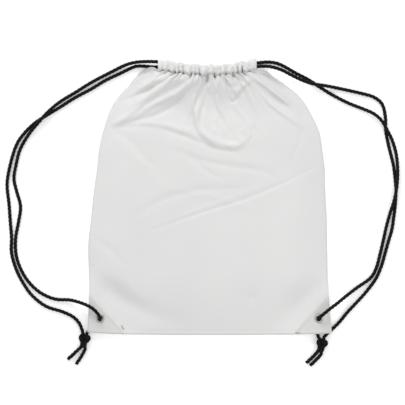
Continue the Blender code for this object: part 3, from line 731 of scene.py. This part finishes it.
# Creases of the drawn mouth and of the folded bag: places along each, then its half-width, its
# depth and how far the cloth on its left stands above the right, all in mm
CREASES = (
    (((-46, 174), (-66, 164), (-97, 148), (-122, 134)), 5, 1.9, 0.5),
    (((-11, 164), (-29, 152), (-50, 131), (-77, 115), (-124, 102), (-142, 99)), 4, 2.3, -0.7),
    (((-136, 97), (-97, 100), (-69, 98), (-46, 90), (-19, 80), (8, 69), (36, 67), (56, 81),
      (61, 98)), 3.5, 1.6, 0.7),
    (((-3, 164), (-18, 133), (-25, 108), (-19, 92), (-7, 78)), 3.5, 2.4, 0.4),
    (((-3, 154), (-9, 127), (-14, 101)), 3, 1.3, 0.0),
    (((12, 154), (24, 111), (40, 76)), 3, 1.4, 0.3),
    (((24, 162), (28, 139), (34, 135), (47, 150), (59, 160)), 2.6, 2.0, 0.4),
    (((59, 166), (75, 147), (98, 135), (137, 116), (150, 108)), 4.5, 1.8, -0.5),
    (((67, 176), (98, 163), (129, 138), (145, 115)), 6, 1.0, 0.0),
    (((-138, 96), (-108, 76), (-85, 49), (-69, 33)), 6, 1.0, -0.3),
    (((-50, 66), (-11, 53), (28, 45), (75, 37), (96, 25)), 5, 1.3, 0.3),
    (((-27, 57), (-3, 37), (17, 27)), 4, 0.9, 0.0),
    (((-98, -22), (-65, -2), (-11, 12), (46, 14)), 5, 1.0, 0.2),
    (((160, 49), (98, 18), (44, -4), (-11, -21), (-78, -45)), 2.3, 0.95, 0.2),
    (((-163, -56), (-139, -72), (-120, -91)), 5, 0.8, 0.0),
    (((50, -2), (52, -56), (51, -88)), 3, 0.35, 0.0),
    (((130, 100), (123, 76), (114, 53)), 4, 0.7, 0.0),
    (((-152, -118), (-126, -138), (-92, -157), (-56, -172)), 13, 3.4, 0.0),
    (((152, -124), (128, -146), (108, -168)), 9, 1.2, 0.0),
    (((56, -134), (62, -146)), 7, 1.2, 0.0),
)
# The same for the narrow folds where the mouth is bunched, which run into the casing
MOUTH_CREASES = (
    (((-45, 182), (-46, 177), (-51, 171)), 1.7, 2.2, 0.0),
    (((-22, 180), (-23, 174), (-28, 166)), 1.6, 2.2, 0.3),
    (((-12, 171), (-9, 160)), 1.7, 3.6, 0.0),
    (((-6, 174), (-3, 166), (-6, 157)), 1.8, 4.2, 0.3),
    (((7, 176), (8, 166)), 1.6, 3.8, 0.0),
    (((12, 180), (10, 170)), 1.3, 2.0, 0.0),
    (((21, 172), (23, 164), (29, 153)), 1.7, 3.8, 0.4),
    (((32, 177), (34, 166)), 1.6, 3.8, 0.0),
    (((36, 168), (44, 163), (52, 157)), 2.0, 1.5, -0.3),
    (((45, 186), (47, 176), (52, 165)), 1.7, 2.6, 0.3),
    (((-62, 184), (-60, 176), (-66, 170)), 2.2, 1.2, 0.0),
    (((57, 186), (58, 178), (64, 172)), 2.0, 1.2, 0.0),
    (((-35, 184), (-37, 176)), 1.5, 1.4, 0.0),
    (((-16, 182), (-14, 174)), 1.3, 1.6, 0.0),
    (((27, 184), (24, 178), (26, 173)), 1.3, 1.6, 0.0),
    (((38, 184), (40, 177)), 1.3, 1.6, 0.0),
)
# Hollows between bunched pleats at the mouth: place, half-width, half-length and depth, in mm
HOLLOWS = (
    (-48, 174, 2.2, 3.0, 1.6), (-5, 164, 5.0, 5.5, 2.2),
    (9, 169, 2.6, 4.0, 1.4), (34, 170, 2.6, 3.6, 1.4),
)


def crease_height(x, y, creases):
    """Depth of creases at places: each is a valley along a line, with a step in the cloth."""
    total = np.zeros_like(x)
    for line, width, depth, step in creases:
        path = smooth_route(np.array(line) * MM, 2 * MM)
        away_x = x[:, None] - path[:, 0]
        away_y = y[:, None] - path[:, 1]
        away = np.hypot(away_x, away_y)
        nearest = away.argmin(axis=1)
        every = np.arange(len(x))
        ahead = np.gradient(path, axis=0)[nearest]
        ahead /= np.linalg.norm(ahead, axis=1)[:, None]
        left_of = ahead[:, 0] * away_y[every, nearest] - ahead[:, 1] * away_x[every, nearest]
        across_it = away[every, nearest] / (width * MM)
        taper = np.sin(math.pi * (0.08 + 0.84 * nearest / (len(path) - 1))) ** 0.7
        valley = -depth * MM * np.exp(-across_it**2)
        stepped = step * MM * np.tanh(left_of / (width * MM)) * np.exp(-(across_it / 4) ** 2)
        total += taper * (valley + stepped)
    return total


def hollow_depth(x, y):
    """The bunched mouth's narrow folds and hollows, shared by the front panel and its casing."""
    total = crease_height(x, y, MOUTH_CREASES)
    for centre_x, centre_y, half_width, half_length, depth in HOLLOWS:
        off_x = (x / MM - centre_x) / half_width
        off_y = (y / MM - centre_y) / half_length
        total -= depth * MM * np.exp(-off_x**2 - off_y**2)
    return total


def front_shape(x, y, across, along):
    """What is added to the settled front: its dome and its creases, none of it at the seams."""
    from_side = np.minimum(across, 1 - across) * CUT_WIDTH
    from_bottom = along * CUT_LENGTH
    from_mouth = (1 - along) * CUT_LENGTH
    rise_side = np.sin(math.pi / 2 * np.clip(from_side / DOME_SIDE, 0, 1))
    rise_bottom = np.sin(math.pi / 2 * np.clip(from_bottom / DOME_BOTTOM, 0, 1))
    corner = np.hypot(np.abs(x) - panel_high.x, y - panel_low.y)
    clear = smooth_step((corner - CORNER_CLEAR) / CORNER_EASE)
    dome = DOME * rise_side * rise_bottom * clear * smooth_step(from_mouth / DOME_MOUTH)
    from_edge = np.minimum(from_side, from_bottom)
    inside = smooth_step(from_edge / CREASE_INSET)
    free = smooth_step((corner - 0.8 * CORNER_CLEAR) / (CORNER_CLEAR / 3))
    creases = crease_height(x, y, CREASES) * inside * free * smooth_step(from_mouth / CREASE_MOUTH)
    pucker = np.exp(-((from_edge - SEAM_PUCKER_INSET) / SEAM_PUCKER_WIDTH) ** 2)
    along_edge = np.where(from_side < from_bottom, y, x)
    pucker *= 0.6 + 0.4 * np.sin(2 * math.pi * along_edge / SEAM_PUCKER_PITCH)
    pucker *= smooth_step(from_mouth / 0.05)
    return dome + creases + hollow_depth(x, y) - SEAM_PUCKER * pucker


def make_panel(word):
    """Settles one panel from its cut, adds what the settling leaves out, and punches its holes."""
    bm, across, along = cloth_grid(COLUMNS, ROWS)
    piece = add_mesh(f"{word}_panel_cloth", bm, taffeta)
    places = panel_places(word, across, along)
    add_cut_map(piece.data, across, along, CUT_WIDTH, CUT_LENGTH)
    held = (across < 1e-6) | (across > 1 - 1e-6) | (along < 1e-6) | (along > 1 - 1e-6)
    for eyelet in EYELETS.values():
        near = np.hypot(places[:, 0] - eyelet.x, places[:, 1] - eyelet.y) < EYELET_HELD
        places[near, 2] = lift(places[near, 0], places[near, 1]) + INNER_Z[word]
        held |= near
    size = SIM_SCALE
    piece.data.vertices.foreach_set("co", (places * size).ravel())
    flat = np.column_stack([
        (across - 0.5) * CUT_WIDTH, panel_low.y + along * CUT_LENGTH,
        np.full(len(across), 0.005),
    ])
    piece.shape_key_add(name="Gathered")
    cut = piece.shape_key_add(name="Cut")
    cut.data.foreach_set("co", (flat * SIM_SCALE).ravel())
    cut.value = 0.0
    group = piece.vertex_groups.new(name="held")
    group.add([int(i) for i in np.nonzero(held)[0]], 1.0, "REPLACE")
    cloth = piece.modifiers.new("Cloth", "CLOTH")
    cloth.settings.quality = 7
    cloth.settings.mass = 0.15
    cloth.settings.bending_model = "ANGULAR"
    cloth.settings.tension_stiffness = 40
    cloth.settings.compression_stiffness = 40
    cloth.settings.shear_stiffness = 10
    cloth.settings.bending_stiffness = 0.05
    cloth.settings.tension_damping = 5
    cloth.settings.compression_damping = 5
    cloth.settings.shear_damping = 5
    cloth.settings.bending_damping = 0.5
    cloth.settings.vertex_group_mass = "held"
    cloth.settings.rest_shape_key = cut
    cloth.settings.effector_weights.gravity = 0.5
    cloth.collision_settings.distance_min = 0.8 * MM * SIM_SCALE
    cloth.collision_settings.collision_quality = 3
    cloth.point_cache.frame_end = SIM_FRAMES
    for frame_number in range(1, SIM_FRAMES + 1):
        bpy.context.scene.frame_set(frame_number)
    finer = piece.modifiers.new("Finer", "SUBSURF")
    finer.levels = 1
    finer.render_levels = 1
    graph = bpy.context.evaluated_depsgraph_get()
    settled = bpy.data.meshes.new_from_object(piece.evaluated_get(graph), depsgraph=graph)
    piece.modifiers.clear()
    if piece.data.shape_keys:
        piece.shape_key_clear()
    piece.vertex_groups.clear()
    rough = piece.data
    piece.data = settled
    bpy.data.meshes.remove(rough)
    settled.name = piece.name
    bpy.context.scene.frame_set(1)
    places = np.empty(3 * len(settled.vertices), np.float32)
    settled.vertices.foreach_get("co", places)
    places = places.reshape(-1, 3) / size
    if word == "front":
        corners = np.empty(len(settled.loops), np.int32)
        settled.loops.foreach_get("vertex_index", corners)
        flat = np.empty(2 * len(corners), np.float32)
        settled.uv_layers["cut"].data.foreach_get("uv", flat)
        shares = np.empty((len(places), 2))
        shares[corners] = flat.reshape(-1, 2) / (CUT_WIDTH, CUT_LENGTH)
        places[:, 2] += front_shape(places[:, 0], places[:, 1], shares[:, 0], shares[:, 1])
    settled.vertices.foreach_set("co", places.ravel())
    bm = bmesh.new()
    bm.from_mesh(settled)
    for eyelet in EYELETS.values():
        inside = [v for v in bm.verts if (v.co.xy - eyelet.xy).length < PANEL_HOLE]
        bmesh.ops.delete(bm, geom=inside, context="VERTS")
    bm.to_mesh(settled)
    bm.free()
    settled.shade_smooth()
    return piece


def add_wall(piece, thickness):
    """Gives a sheet its thickness, half to each side."""
    wall = piece.modifiers.new("Wall", "SOLIDIFY")
    wall.thickness = thickness
    wall.offset = 0.0


# The front settles on the back, and both on the floor.
bm = bmesh.new()
bmesh.ops.create_grid(bm, x_segments=1, y_segments=1, size=FLOOR_SIDE)
table = add_mesh("table", bm, studio_white)
table.modifiers.new("Stop", "COLLISION")
table.collision.thickness_outer = 0.6 * MM * SIM_SCALE
table.collision.cloth_friction = 10
back = make_panel("back")
stand_in = back.copy()
stand_in.data = back.data.copy()
bpy.context.scene.collection.objects.link(stand_in)
stand_in.data.transform(Matrix.Scale(SIM_SCALE, 4))
stand_in.modifiers.new("Stop", "COLLISION")
stand_in.collision.thickness_outer = 0.6 * MM * SIM_SCALE
stand_in.collision.thickness_inner = 1.0 * MM * SIM_SCALE
stand_in.collision.cloth_friction = 5
front = make_panel("front")
bpy.data.objects.remove(stand_in)
bpy.data.objects.remove(table)
for piece, word in ((back, "back"), (front, "front")):
    add_wall(piece, CLOTH)
    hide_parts(f"{word}_panel")
    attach(piece, "bag")

# ---------------------------------------------------------------------------------------------
# Casings
# The top of each panel is folded over the drawcords and stitched down as a hem. Drawn together,
# it bunches on the cords: rounded puckers on top, and deep narrow hollows at the stitch line.

CASING_DEPTH = 15.4 * MM      # stitch line to the fold, less than the flat hem
CASING_HALF_HEIGHT = 3.7 * MM
CASING_COLUMNS = 380
CASING_ROUND = 56
INNER_WALL_SHORT = 13 * MM
SLIDE_SLACK = 1.2 * MM        # more room near the ends, where the curved cords shift as they slide
SLACK_LENGTH = 14 * MM
PUCKER = (1.9, 0.9)           # height of a pucker over its hollow, and how deep the hollow is, mm
CRINKLE = {"outside": 0.6, "inside": -0.4}           # fine crinkles of the bunched cloth, mm
CORD_ROOM = CORD / 2 + 0.45 * MM
CORD_LANES = [straps["left", part_word][1][0][1] for part_word in ("to_eyelet", "upper")]


def stitch_line(across, word):
    """The stitch line's places at shares across the mouth, as the panels have them."""
    left_x, left_y = side_edge("left", 1.0)
    right_x, right_y = side_edge("right", 1.0)
    x = left_x + (right_x - left_x) * across
    out = np.abs(2 * across - 1)
    edge_y = np.where(across < 0.5, left_y, right_y)
    y = MOUTH_Y + (edge_y - MOUTH_Y) * out**2 + mouth_wave(x)
    return x, y, casing_z[word] + PLEAT_DEPTH[word] * pleat_height(across)


def bunches(across, count, seed):
    """Irregular rounded ridges with narrow valleys between them, from 0 to 1."""
    widths = np.random.default_rng(seed).uniform(0.45, 1.55, count)
    ends = np.concatenate([[0.0], np.cumsum(widths)]) / widths.sum()
    turns = np.interp(across, ends, np.arange(count + 1))
    size = 0.65 + 0.35 * np.sin(1.9 * np.floor(turns) + seed)
    return size * np.abs(np.sin(math.pi * turns)) ** 0.7


def casing_places(word, across, round_it):
    """round_it goes from 0 at the stitch line, over the top to 0.5 at the fold, and back below."""
    x, y, z = stitch_line(across, word)
    turn = 2 * math.pi * round_it
    out = (1 - np.cos(turn)) / 2
    outside = np.sin(turn) >= 0.0
    from_end = smooth_step(np.minimum(across, 1 - across) / 0.13)
    wander = 0.011 * np.sin(4.1 * out + 31 * across) + 0.006 * np.sin(8.3 * out - 67 * across + 2.0)
    near_fold = smooth_step((out - 0.1) / 0.45)
    rooted = (pleat_height(across) + 1) / 2
    coarse = bunches(np.clip(across + wander, 0, 1), 25, 3)
    fine = bunches(np.clip(across - 0.7 * wander + 0.02 * out, 0, 1), 43, 8)
    ridge = rooted * (1 - near_fold) + (0.75 * coarse + 0.35 * fine) * near_fold
    edge_wave = (1.1 * bunches(across, 14, 5) + 0.7 * bunches(across, 31, 6) - 0.9) * MM
    slack = SLIDE_SLACK * np.exp(-(((np.abs(x) - 0.75 * CASING_END_X) / SLACK_LENGTH) ** 2))
    fold = y + CASING_DEPTH + slack + from_end * edge_wave
    y_now = y + (fold - y) * np.where(out < 1e-6, 0.0, 0.16 + 0.84 * out)
    height = CASING_HALF_HEIGHT * np.abs(np.sin(turn)) ** 0.6
    steep = np.clip(1.6 * np.abs(np.sin(turn)), 0, 1)
    pucker = (PUCKER[0] * ridge - PUCKER[1]) * MM * steep * (0.2 + 0.8 * from_end)
    middle = casing_z[word] + (z - casing_z[word]) * (1 - out) ** 1.6
    z_now = middle + (height + pucker) * np.where(outside, 1, -1)
    above = 1 if word == "front" else -1
    if word == "front":
        z_now += np.where(outside, hollow_depth(x, y_now), 0.0)
    crinkle = np.sin(1500 * x + 1.7 * np.sin(900 * y_now))
    crinkle *= np.sin(1150 * y_now + 2 * np.sin(640 * x))
    size = np.where(outside, CRINKLE["outside"], CRINKLE["inside"]) * MM
    z_now += size * crinkle * np.abs(np.sin(turn)) * (0.3 + 0.7 * from_end)
    # The wall towards the other casing is cut back at the ends, where the cords turn round.
    inner = (np.sin(turn) * above < 0.0) & (out < 1 - 1e-6)
    half_end = 0.5 * CASING_END_X
    back_by = INNER_WALL_SHORT * smooth_step((np.abs(x) - half_end) / half_end)
    x_now = x - np.where(inner, np.sign(x) * back_by * np.abs(np.sin(turn)), 0.0)
    # The cloth rests on the cords that run through it.
    for lane in CORD_LANES:
        off_y = y_now - (lane - dip(x_now))
        off_z = z_now - casing_z[word]
        away = np.maximum(np.hypot(off_y, off_z), 1e-6)
        push = np.maximum(CORD_ROOM / away, 1.0)
        y_now = y_now + off_y * (push - 1)
        z_now = z_now + off_z * (push - 1)
    return np.column_stack([x_now, y_now, np.maximum(z_now, LOWEST_CLOTH["casing"])])


for word, panel in (("front", front), ("back", back)):
    bm, across, round_it = cloth_grid(CASING_COLUMNS, CASING_ROUND)
    places = casing_places(word, across, round_it)
    piece = add_mesh(f"{word}_casing_cloth", bm, taffeta)
    add_cut_map(piece.data, across, round_it, CUT_WIDTH, 2 * CASING_DEPTH)
    piece.data.vertices.foreach_set("co", places.ravel())
    bm = bmesh.new()
    bm.from_mesh(piece.data)
    bmesh.ops.remove_doubles(bm, verts=bm.verts[:], dist=0.02 * MM)
    bmesh.ops.recalc_face_normals(bm, faces=bm.faces[:])
    bm.to_mesh(piece.data)
    bm.free()
    add_wall(piece, CLOTH)
    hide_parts(f"{word}_casing")
    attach(piece, "bag")
    panel["casing"] = piece.name

# ---------------------------------------------------------------------------------------------
# Sewn edges
# The panels are sewn face to face, overlocked and turned out, so each edge is a narrow rounded
# ridge of folded cloth with the seam allowance inside. The side seams stop at the open slits.

EDGE_HALF_WIDTH = 0.9 * MM
EDGE_HALF_HEIGHT = 0.75 * MM
EDGE_STEP = 3 * MM


def edge_bead(name, line, node_name):
    """A flattened bead along a line of places. Its weave runs with the panels'."""
    path = smooth_route(line, EDGE_STEP)
    curve = bpy.data.curves.new("bead", "CURVE")
    curve.dimensions = "3D"
    curve.bevel_depth = EDGE_HALF_WIDTH
    curve.bevel_resolution = 3
    curve.use_fill_caps = True
    spline = curve.splines.new("POLY")
    spline.points.add(len(path) - 1)
    spline.points.foreach_set("co", np.column_stack([path, np.ones(len(path))]).ravel())
    holder = bpy.data.objects.new("bead", curve)
    bm = bmesh.new()
    bm.from_mesh(bpy.data.meshes.new_from_object(holder))
    bpy.data.objects.remove(holder)
    bmesh.ops.remove_doubles(bm, verts=bm.verts[:], dist=0.001 * MM)
    bmesh.ops.recalc_face_normals(bm, faces=bm.faces[:])
    for vert in bm.verts:
        nearest = path[np.linalg.norm(path[:, :2] - np.array(vert.co.xy), axis=1).argmin()]
        vert.co.z = nearest[2] + (vert.co.z - nearest[2]) * EDGE_HALF_HEIGHT / EDGE_HALF_WIDTH
    piece = add_mesh(name, bm, taffeta)
    xy = np.array([vert.co.xy[:] for vert in piece.data.vertices])
    add_cut_map(piece.data, xy[:, 0], xy[:, 1], 1.0, 1.0)
    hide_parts(node_name)
    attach(piece, "bag")


edge_z = (SEAM_Z["front"] + SEAM_Z["back"]) / 2
share = np.linspace(0.0, 1 - SLIT / CUT_LENGTH, 60)
for word in ("left", "right"):
    x, y = side_edge(word, share)
    line = np.column_stack([x, y, edge_z + lift(x, y)])
    edge_bead(f"{word}_sewn_edge", line, f"{word}_side_seam")
across = np.linspace(0.0, 1.0, 70)
hems = [panel_places(word, across, np.zeros(70)) for word in ("front", "back")]
places = (hems[0] + hems[1]) / 2
places[:, 2] = edge_z + lift(places[:, 0], places[:, 1])
edge_bead("bottom_sewn_edge", places, "bottom_seam")

# ---------------------------------------------------------------------------------------------
# Corner patches
# A triangle of the same cloth doubled on the outside of each bottom corner, front and back, so
# that the eyelet doesn't tear out. Its long side is turned under and stitched along the edge.

PATCH_CLOTH = 0.6 * MM
PATCH_STEPS = 44
PATCH_INSET = 0.5 * MM        # its outer sides end inside the sewn edge
PATCH_FOLD = 0.35 * MM        # more height along the long side, which is turned under
PATCH_FOLD_WIDTH = 3 * MM
PATCH_HOLE = 3.9 * MM         # radius of the hole punched for the eyelet
PATCH_GAP = 0.05 * MM         # between a patch and its panel
STITCH_PITCH = 2.6 * MM
STITCH_LENGTH = 1.7 * MM
STITCH_INSET = 2.2 * MM       # from a patch's folded side to its stitch line
THREAD = 0.4 * MM

# The doubled cloth is a shade duller than the panel below it.
patch_taffeta = taffeta.copy()
patch_taffeta.name = "doubled_polyester_taffeta"
for shade_node in patch_taffeta.node_tree.nodes:
    if shade_node.type == "MIX":
        shade_node.inputs["A"].default_value = linear("#CDCDCB")
        shade_node.inputs["B"].default_value = linear("#D5D5D2")


def thread_material(name, dark, light):
    """Spun polyester thread: matt, and mottled by its short fuzz."""
    made, tree, shader = new_material(name, {"Roughness": 0.85})
    where = node(tree, "ShaderNodeTexCoord")
    fuzz = node(tree, "ShaderNodeTexNoise", {"Scale": 2500.0}, Vector=where.outputs["Object"])
    tint = node(tree, "ShaderNodeMix", {"data_type": "RGBA"}, Factor=fuzz.outputs["Fac"])
    tint.inputs["A"].default_value = linear(dark)
    tint.inputs["B"].default_value = linear(light)
    tree.links.new(tint.outputs["Result"], shader.inputs["Base Color"])
    return made


thread_white = thread_material("white_sewing_thread", "#C4C4BF", "#E0E0DC")


def tree_of(piece):
    """A search tree of a panel's settled cloth."""
    bm = bmesh.new()
    bm.from_mesh(piece.data)
    found = BVHTree.FromBMesh(bm)
    bm.free()
    return found


def surface_height(found, x, y, above):
    """Height of a panel's outside at a place: above is +1 on the front and -1 on the back."""
    start = Vector((x, y, 0.1 * above + 0.01))            # well clear of the bag on that side
    place, _, _, _ = found.ray_cast(start, Vector((0.0, 0.0, -above)))
    return None if place is None else place.z + above * CLOTH / 2


def stitch_row(name, places, length=STITCH_LENGTH, width=THREAD):
    """Short flat stitches laid end to end along a row of places, as one mesh."""
    whole = bmesh.new()
    for here, there in zip(places, places[1:]):
        middle = (Vector(here) + Vector(there)) / 2
        along = (Vector(there) - Vector(here)).normalized()
        made = bmesh.ops.create_uvsphere(whole, u_segments=6, v_segments=4, radius=0.5)["verts"]
        turn = along.to_track_quat("Z", "Y").to_matrix().to_4x4()
        size = Matrix.Diagonal((width, width, length, 1.0))
        bmesh.ops.transform(whole, matrix=Matrix.Translation(middle) @ turn @ size, verts=made)
    piece = add_mesh(name, whole, thread_white)
    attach(piece, "bag")
    return piece


hem = panel_places("front", np.linspace(0.0, 1.0, 200), np.zeros(200))
surfaces = {"front": tree_of(front), "back": tree_of(back)}
for side, side_word in ((-1, "left"), (1, "right")):
    for face, above in (("front", 1), ("back", -1)):
        node_name = f"{side_word}_{face}_corner_patch"
        low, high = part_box(node_name)
        reach = high[1] - low[1]
        edge_x, edge_y = side_edge(side_word, np.linspace(0.0, 0.3, 80))
        corner = Vector((edge_x[0] - side * PATCH_INSET, edge_y[0] + PATCH_INSET, 0.0))
        inner = Vector((corner.x - side * reach, corner.y, 0.0))
        top = Vector((corner.x, corner.y + reach, 0.0))
        bm = bmesh.new()
        bmesh.ops.create_grid(bm, x_segments=PATCH_STEPS, y_segments=PATCH_STEPS, size=0.5)
        for vert in bm.verts:
            u, v = vert.co.x + 0.5, vert.co.y + 0.5
            place = corner + (inner - corner) * u * (1 - v) + (top - corner) * v
            place.x += np.interp(place.y, edge_y, edge_x) - edge_x[0]
            place.y += (np.interp(place.x, hem[:, 0], hem[:, 1]) - edge_y[0]) * (1 - v)
            height = surface_height(surfaces[face], place.x, place.y, above)
            if height is None:
                height = edge_z + lift(place.x, place.y) + above * EDGE_HALF_WIDTH
            from_fold = (1 - u) * (1 - v) * reach
            turned_under = PATCH_FOLD * math.exp(-(from_fold / PATCH_FOLD_WIDTH) ** 2)
            height += above * (PATCH_CLOTH / 2 + PATCH_GAP + turned_under)
            vert.co = (place.x, place.y, height)
        eyelet = EYELETS[side_word]
        bmesh.ops.remove_doubles(bm, verts=bm.verts[:], dist=0.05 * MM)
        inside = [v for v in bm.verts if (v.co.xy - eyelet.xy).length < PATCH_HOLE]
        bmesh.ops.delete(bm, geom=inside, context="VERTS")
        for _ in range(3):
            bmesh.ops.smooth_vert(bm, verts=bm.verts[:], factor=0.5, use_axis_z=True)
        bmesh.ops.recalc_face_normals(bm, faces=bm.faces[:])
        piece = add_mesh(f"{node_name}_cloth", bm, patch_taffeta)
        xy = np.array([vert.co.xy[:] for vert in piece.data.vertices])
        add_cut_map(piece.data, xy[:, 0] + xy[:, 1], xy[:, 0] - xy[:, 1], 0.7, 0.7)
        add_wall(piece, PATCH_CLOTH)
        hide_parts(node_name)
        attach(piece, "bag")

        patch_surface = tree_of(piece)
        count = int((top - inner).length / STITCH_PITCH)
        inward = (corner - (top + inner) / 2).normalized() * STITCH_INSET
        row = []
        for i in range(count + 1):
            place = inner.lerp(top, 0.04 + 0.9 * i / count) + inward
            height = surface_height(patch_surface, place.x, place.y, above)
            if height is not None:
                row.append((place.x, place.y, height + above * 0.25 * MM))
        stitch_row(f"{node_name}_stitches", row)

# A loose thread at each side, where the patch's stitching stops, coloured dark grey
LOOSE_ENDS = {                # places (x, y) in mm
    "left": ((-122.6, -178.4), (-121.4, -181.2), (-119.6, -183.8)),
    "right": ((119.6, -188.2), (123.0, -189.0), (126.8, -188.4)),
}
dark_grey_thread = thread_material("dark_grey_sewing_thread", "#4A4A48", "#8C8C88")
for word, ends in LOOSE_ENDS.items():
    row = []
    for x, y in ends:
        x, y = x * MM, y * MM
        height = surface_height(surfaces["front"], x, y, 1) or edge_z + lift(x, y)
        row.append((x, y, height + 1.2 * MM))
    piece = stitch_row(f"{word}_loose_thread", row, 3.4 * MM, 1.1 * MM)
    piece.data.materials.clear()
    piece.data.materials.append(dark_grey_thread)

# The casings' stitch lines
for word, above in (("front", 1), ("back", -1)):
    across = np.linspace(0.02, 0.98, int(CASING_END_X * 2 / STITCH_PITCH * 1.5))
    x, y, z = stitch_line(across, word)
    stitch_row(f"{word}_casing_stitches", np.column_stack([x, y + 0.5 * MM, z + above * 0.5 * MM]))

# ---------------------------------------------------------------------------------------------
# Eyelets and washers
# Nickel-plated brass, 11 mm across: the eyelet's barrel goes down through both patches and both
# panels, and is rolled over a flat washer underneath.

EYELET_TURNS = 64
EYELET_LIP = 1.6 * MM         # height of the rolled lip
EYELET_FLANGE = 2.3 * MM      # its width, from the hole to the outside
LIP_STEPS = 6

# Nickel plate on pressed brass: bright, faintly warm, with fine tumbling marks, and a painted
# contact
# shadow: a dark band painted in the crease where the lip meets the cloth.
nickel, tree, shader = new_material(
    "nickel_plated_brass", {"Base Color": linear("#C8C6C1"), "Metallic": 1.0, "Roughness": 0.3}
)
where = node(tree, "ShaderNodeTexCoord")
marks = node(
    tree, "ShaderNodeTexNoise", {"Scale": 1800.0, "Detail": 4.0}, Vector=where.outputs["Object"]
)
gloss = node(tree, "ShaderNodeMapRange", {"To Min": 0.2, "To Max": 0.4}, Value=marks.outputs["Fac"])
tree.links.new(gloss.outputs["Result"], shader.inputs["Roughness"])
worn = node(tree, "ShaderNodeMix", {"data_type": "RGBA"}, Factor=marks.outputs["Fac"])
worn.inputs["A"].default_value = linear("#B4B2AD")
worn.inputs["B"].default_value = linear("#D4D2CE")
# Painted contact shadow: the colour turns dark in a narrow band round the height where the lip
# meets the cloth.
split = node(tree, "ShaderNodeSeparateXYZ", Vector=where.outputs["Object"])
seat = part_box("left_eyelet")[1][2] - EYELET_LIP
above_seat = node(tree, "ShaderNodeMath", {"operation": "SUBTRACT", 1: seat})
tree.links.new(split.outputs["Z"], above_seat.inputs[0])
off_seat = node(tree, "ShaderNodeMath", {"operation": "ABSOLUTE"})
tree.links.new(above_seat.outputs[0], off_seat.inputs[0])
outside_contact_shadow = node(
    tree, "ShaderNodeMapRange", {"From Min": 0.25 * MM, "From Max": 0.8 * MM},
    Value=off_seat.outputs[0],
)
painted_contact_shadow = node(tree, "ShaderNodeMix", {"data_type": "RGBA"}, Factor=outside_contact_shadow.outputs["Result"])
painted_contact_shadow.inputs["A"].default_value = linear("#34322E")
tree.links.new(worn.outputs["Result"], painted_contact_shadow.inputs["B"])
tree.links.new(painted_contact_shadow.outputs["Result"], shader.inputs["Base Color"])


def spun(name, profile, centre, surface):
    """A closed (radius, height) profile, in metres, spun about the vertical through a point."""
    bm = bmesh.new()
    verts = [bm.verts.new((radius, 0.0, height)) for radius, height in profile]
    edges = [bm.edges.new(pair) for pair in zip(verts, verts[1:] + verts[:1])]
    bmesh.ops.spin(
        bm, geom=verts + edges, cent=(0, 0, 0), axis=(0, 0, 1), angle=2 * math.pi,
        steps=EYELET_TURNS, use_merge=True,
    )
    bmesh.ops.remove_doubles(bm, verts=bm.verts[:], dist=0.001 * MM)
    bmesh.ops.recalc_face_normals(bm, faces=bm.faces[:])
    bmesh.ops.translate(bm, vec=Vector((centre.x, centre.y, 0.0)), verts=bm.verts[:])
    return add_mesh(name, bm, surface)


for word, centre in EYELETS.items():
    low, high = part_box(f"{word}_eyelet")
    outer = (high[0] - low[0]) / 2
    hole = outer - EYELET_FLANGE
    flange = high[2] - EYELET_LIP
    lip = (outer - hole) / 2
    rim = [(hole + 0.5 * MM, low[2]), (hole, low[2]), (hole, flange + 0.1 * MM)]
    for step in range(LIP_STEPS + 1):                      # over the rolled lip, inside to outside
        turn = math.pi * step / LIP_STEPS
        height = flange + 0.15 * MM + (EYELET_LIP - 0.15 * MM) * math.sin(turn)
        rim.append((hole + lip - lip * math.cos(turn), height))
    rim += [(outer - 0.1 * MM, flange), (hole + 0.5 * MM, flange)]
    piece = spun(f"{word}_eyelet_ring", rim, centre, nickel)
    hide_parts(f"{word}_eyelet")
    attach(piece, "bag")

    low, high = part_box(f"{word}_eyelet_washer")
    bore = hole + 0.8 * MM
    corner = 0.15 * MM
    washer = [
        (bore, low[2] + corner), (bore, high[2] - corner), (bore + corner, high[2]),
        (outer - corner, high[2]), (outer, high[2] - corner), (outer, low[2] + corner),
        (outer - corner, low[2]), (bore + corner, low[2]),
    ]
    piece = spun(f"{word}_washer_ring", washer, centre, nickel)
    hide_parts(f"{word}_eyelet_washer")
    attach(piece, "bag")
